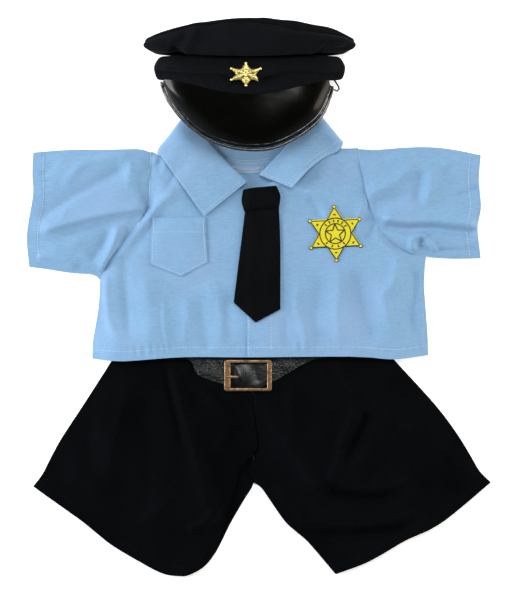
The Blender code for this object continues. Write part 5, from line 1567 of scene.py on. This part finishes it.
def upperFaces(grid):
    # the faces of a closed grid that lie up
    rows, count = grid.shape[:2]
    faces = []
    for r in range(rows - 1):
        for c in range(count):
            a, b = r * count + c, r * count + (c + 1) % count
            if grid[r, c, 2] > 20 and grid[r, (c + 1) % count, 2] > 20:
                faces.append((a, b, b + count, a + count))
    return grid.reshape(-1, 3), faces


bandTop = Surface(upperFaces(bandOuter))


def makeCapStar():
    s = capStar
    outline = denser(starLine(s["x"], s["y"], s["tip"] - 0.3, s["hollow"], 6, 0.0, s["squash"]), 0.8)
    # the lower point on the wearer's left is worn round and bent
    bent = np.hypot(outline[:, 0] - (s["x"] + 11.6), outline[:, 1] - (s["y"] - 4.5))
    outline[:, 0] -= 1.6 * np.exp(-(bent / 3.2) ** 2)
    outline[:, 1] -= 1.7 * np.exp(-(bent / 3.4) ** 2)
    flat, triangles = triangulated(outline[:-1], 0.8)
    level = bandTop.heights(flat)
    base = smoothed(level, triangles, 60)
    base = np.maximum(base, np.maximum(level - 0.2, np.percentile(level, 70)))
    base = smoothed(base, triangles, 30)
    base += max(0.0, float((level + 0.15 - base).max()))
    away = np.hypot(flat[:, 0] - s["x"], (flat[:, 1] - s["y"]) / s["squash"])
    angle = np.arctan2((flat[:, 1] - s["y"]) / s["squash"], flat[:, 0] - s["x"])
    rays = 0.35 * np.cos(6 * (angle - math.pi / 2)) * ease(away / 6)
    ring = 0.35 * np.exp(-((away - 6.2) / 0.7) ** 2) + 0.3 * np.exp(-((away - 2.4) / 0.7) ** 2)
    room = nearPath(flat, outline)[0]
    top = base + s["above"] * 0.3 + s["wall"] + s["dome"] * (1 - away / s["tip"]) + rays + ring
    top -= 0.35 * np.exp(-(room / 0.5) ** 2)
    addCloth("capStar", flat, top, triangles, s["wall"], gold, "cap_star", base)
    face = Surface((np.column_stack([flat, top]), triangles))
    lines = []
    for radius in (6.9, 5.3, 3.3):
        line = ringLine(s["x"], s["y"], radius, 60)
        line[:, 1] = s["y"] + (line[:, 1] - s["y"]) * s["squash"]
        lines.append((line, s["line"]))
    lines.append((denser(starLine(s["x"], s["y"], 3.0, 1.3, 5, 0.0, s["squash"]), 0.4), s["line"]))
    for k in range(6):
        a = math.radians(90 + 60 * k)
        for bend in (-1, 1):
            curl = [(s["x"] + r * math.cos(a + bend * w), s["y"] + r * math.sin(a + bend * w) * s["squash"])
                    for r, w in ((7.4, 0.30), (8.4, 0.22), (9.2, 0.10), (9.8, 0.03))]
            lines.append((smoothPath(np.array(curl), 0.4), s["line"]))
        b = a + math.radians(30)
        lines.append((np.array([(s["x"] + r * math.cos(b), s["y"] + r * math.sin(b) * s["squash"])
                                for r in (5.4, 6.0, 6.8)]), s["line"] * 1.3))
        dot = ringLine(s["x"] + 4.3 * math.cos(b), s["y"] + 4.3 * math.sin(b) * s["squash"], 0.42, 12)
        lines.append((dot, s["line"]))
    ribbons = [ribbon(draped(line, face.heights, 0.02), width, 0.09) for line, width in lines]
    corners, sides = joinShapes(ribbons)
    addMesh("capStarLines", corners, sides, inkBlack)
    tips = [(s["x"] + s["tip"] * math.cos(a), s["y"] + s["tip"] * math.sin(a) * s["squash"])
            for k, a in enumerate(np.radians(90 + 60 * np.arange(6))) if k != 4]
    corners, sides = discs(tips, s["ball"], face.heights, -0.5, 0.9)
    addMesh("capStarTips", corners, sides, gold)


makeChestStar()
makeCapStar()
print("stars made")

stitches = {"pitch": 2.3, "pocketPitch": 2.0, "hem": 7.2, "cuff": 8.0,
            # a straight row's x, its lower end, its upper end
            "placket": (9.0, -39.0, 40.0), "facing": (-7.4, -44.0, -14.0)}
# the overlock's rows bow about its middle; a plain double row runs above it
overlock = {"pitch": 1.7, "from": -20.0, "to": 3.5, "middle": -8, "bow": 0.009, "low": 93.4, "rowGap": 2.6,
            "plainPitch": 2.3, "plainFrom": -24.5, "plainTo": 6.0, "plainLow": 101.4, "plainGap": 1.7,
            "standColumns": 12}


def threadAlong(line, pitch):
    # the middle and direction of each stitch on a line of 3-D points
    count = max(2, round(pathLength(line) / pitch))
    places = resample(line, np.linspace(0, 1, count * 2 + 1))
    return places[1:-1:2], (places[2::2] - places[:-2:2])


def gridTriangles(rows, columns):
    corners = [(r * columns + c, r * columns + c + 1, (r + 1) * columns + c, (r + 1) * columns + c + 1)
               for r in range(rows - 1) for c in range(columns - 1)]
    return np.array([t for a, b, c, d in corners for t in ((a, b, d), (a, d, c))])


def makeShirtStitches():
    s = stitches
    lines = [inset(shirtEdges["rightHem"], s["hem"], 2.0), inset(shirtEdges["leftHem"], s["hem"], 2.0)]
    for x, low, high in (s["placket"], s["facing"]):
        lines.append(np.array([(x, y) for y in np.arange(low, high, 2.0)]))
    bars("hemStitches", *stitchesAlong(lines, shirtTop.heights, s["pitch"], lift=0.1), thread, "shirt_cotton")
    top = Surface(pocketPanel.side())
    edge = pocketPanel.edge(*pocket["opening"][::-1])
    hemLevel = pocket["opening"][0][1] - pocket["hem"]
    hemRow = np.array([(x, hemLevel) for x in np.arange(-79.0, -41.0, 2.0)])
    lines = [inset(edge, pocket["edge"], 1.0), hemRow]
    sewn = stitchesAlong(lines, top.heights, s["pocketPitch"], lift=0.1, seed=5)
    bars("pocketStitches", *sewn, thread, "shirt_cotton")
    for side in ("right", "left"):
        cuff = sleeveSides[side][1]
        inward = inset(cuff if side == "right" else cuff[::-1], s["cuff"], 3.0)
        sewn = stitchesAlong([inward], Surface(sleeveSides[side][0]).heights, s["pitch"], lift=0.1, seed=7)
        bars(f"cuffStitches{side.capitalize()}", *sewn, thread, "shirt_cotton")
    makeCollarStitches()


def makeCollarStitches():
    normals = gridNormals(collarMiddle)
    if normals[4, 30, 2] < 0:
        normals = -normals
    above = collarMiddle + normals * collar["stitchAbove"]
    shown = [r for r in range(len(collarMiddle)) if collarTurns[r] > 0.3]
    half = len(collarMiddle) / 2
    halves = [[r for r in shown if r < half], [r for r in shown if r > half]]
    # the right leaf has one row along its edge and the left leaf two, with one across each leaf's front end
    lines = [above[halves[0], -2], above[halves[0][0] + 1, fallStart:-1],
             above[halves[1], -2], above[halves[1], -5], above[halves[1][-1] - 1, fallStart:-1]]
    spots, ways = [], []
    for line in lines:
        places, ahead = threadAlong(line, stitches["pitch"])
        spots += list(places)
        ways += list(ahead)
    bars("collarStitches", spots, ways, (1.4, 0.42, 0.34), thread, "shirt_cotton")
    makeOverlock(normals)


def makeOverlock(normals):
    # overlocked neck seam inside the back neck, and a row of stitches above it
    o = overlock
    sides = (collarMiddle + normals * 0.4, collarMiddle - normals * 0.4)
    grids = [side[:, :o["standColumns"]] for side in sides]
    stand = Surface(*[(grid.reshape(-1, 3), gridTriangles(*grid.shape[:2])) for grid in grids])
    zigzag = []
    for x in np.arange(o["from"], o["to"], o["pitch"]):
        y = o["low"] + o["bow"] * (x - o["middle"]) ** 2
        for low in (y, y + o["rowGap"]):
            zigzag += [((x, low), (x + 0.3, low + 2.5)), ((x + 1.25, low), (x + 0.95, low + 2.5))]
    for x in np.arange(o["plainFrom"], o["plainTo"], o["plainPitch"]):
        y = o["plainLow"] + o["bow"] * (x - o["middle"]) ** 2
        zigzag += [((x, low), (x + 2.2, low)) for low in (y, y + o["plainGap"])]
    spots = [(*((np.array(a) + b) / 2), 0) for a, b in zigzag]
    ways = [(*(np.array(b) - a), 0) for a, b in zigzag]
    flat = np.array(spots)
    level = np.fmax(Surface(backPanel.side()).heights(flat), stand.heights(flat)) + 0.2
    spots = [(x, y, z) for (x, y, _), z in zip(spots, level)]
    bars("neckOverlock", spots, ways, (2.3, 0.44, 0.34), thread, "shirt_cotton")


makeShirtStitches()


def makeCapStitches():
    row = 4  # of the band's grid, just above its hem
    line = bandOuter[row] + capNormals(bandOuter)[row] * 0.12
    places, ahead = threadAlong(np.vstack([line, line[:1]]), 2.2)
    # each stitch stands away from the axis of the cap
    ups = [np.array([(x - cap["axis"]) / 70, 0, (z - 18) / 20]) + (0, 0, 1e-3) for x, _, z in places]
    bars("capBandStitches", places, ahead, (1.3, 0.4, 0.32), blackThread, "cap_twill", ups)


makeCapStitches()
print("stitches made")
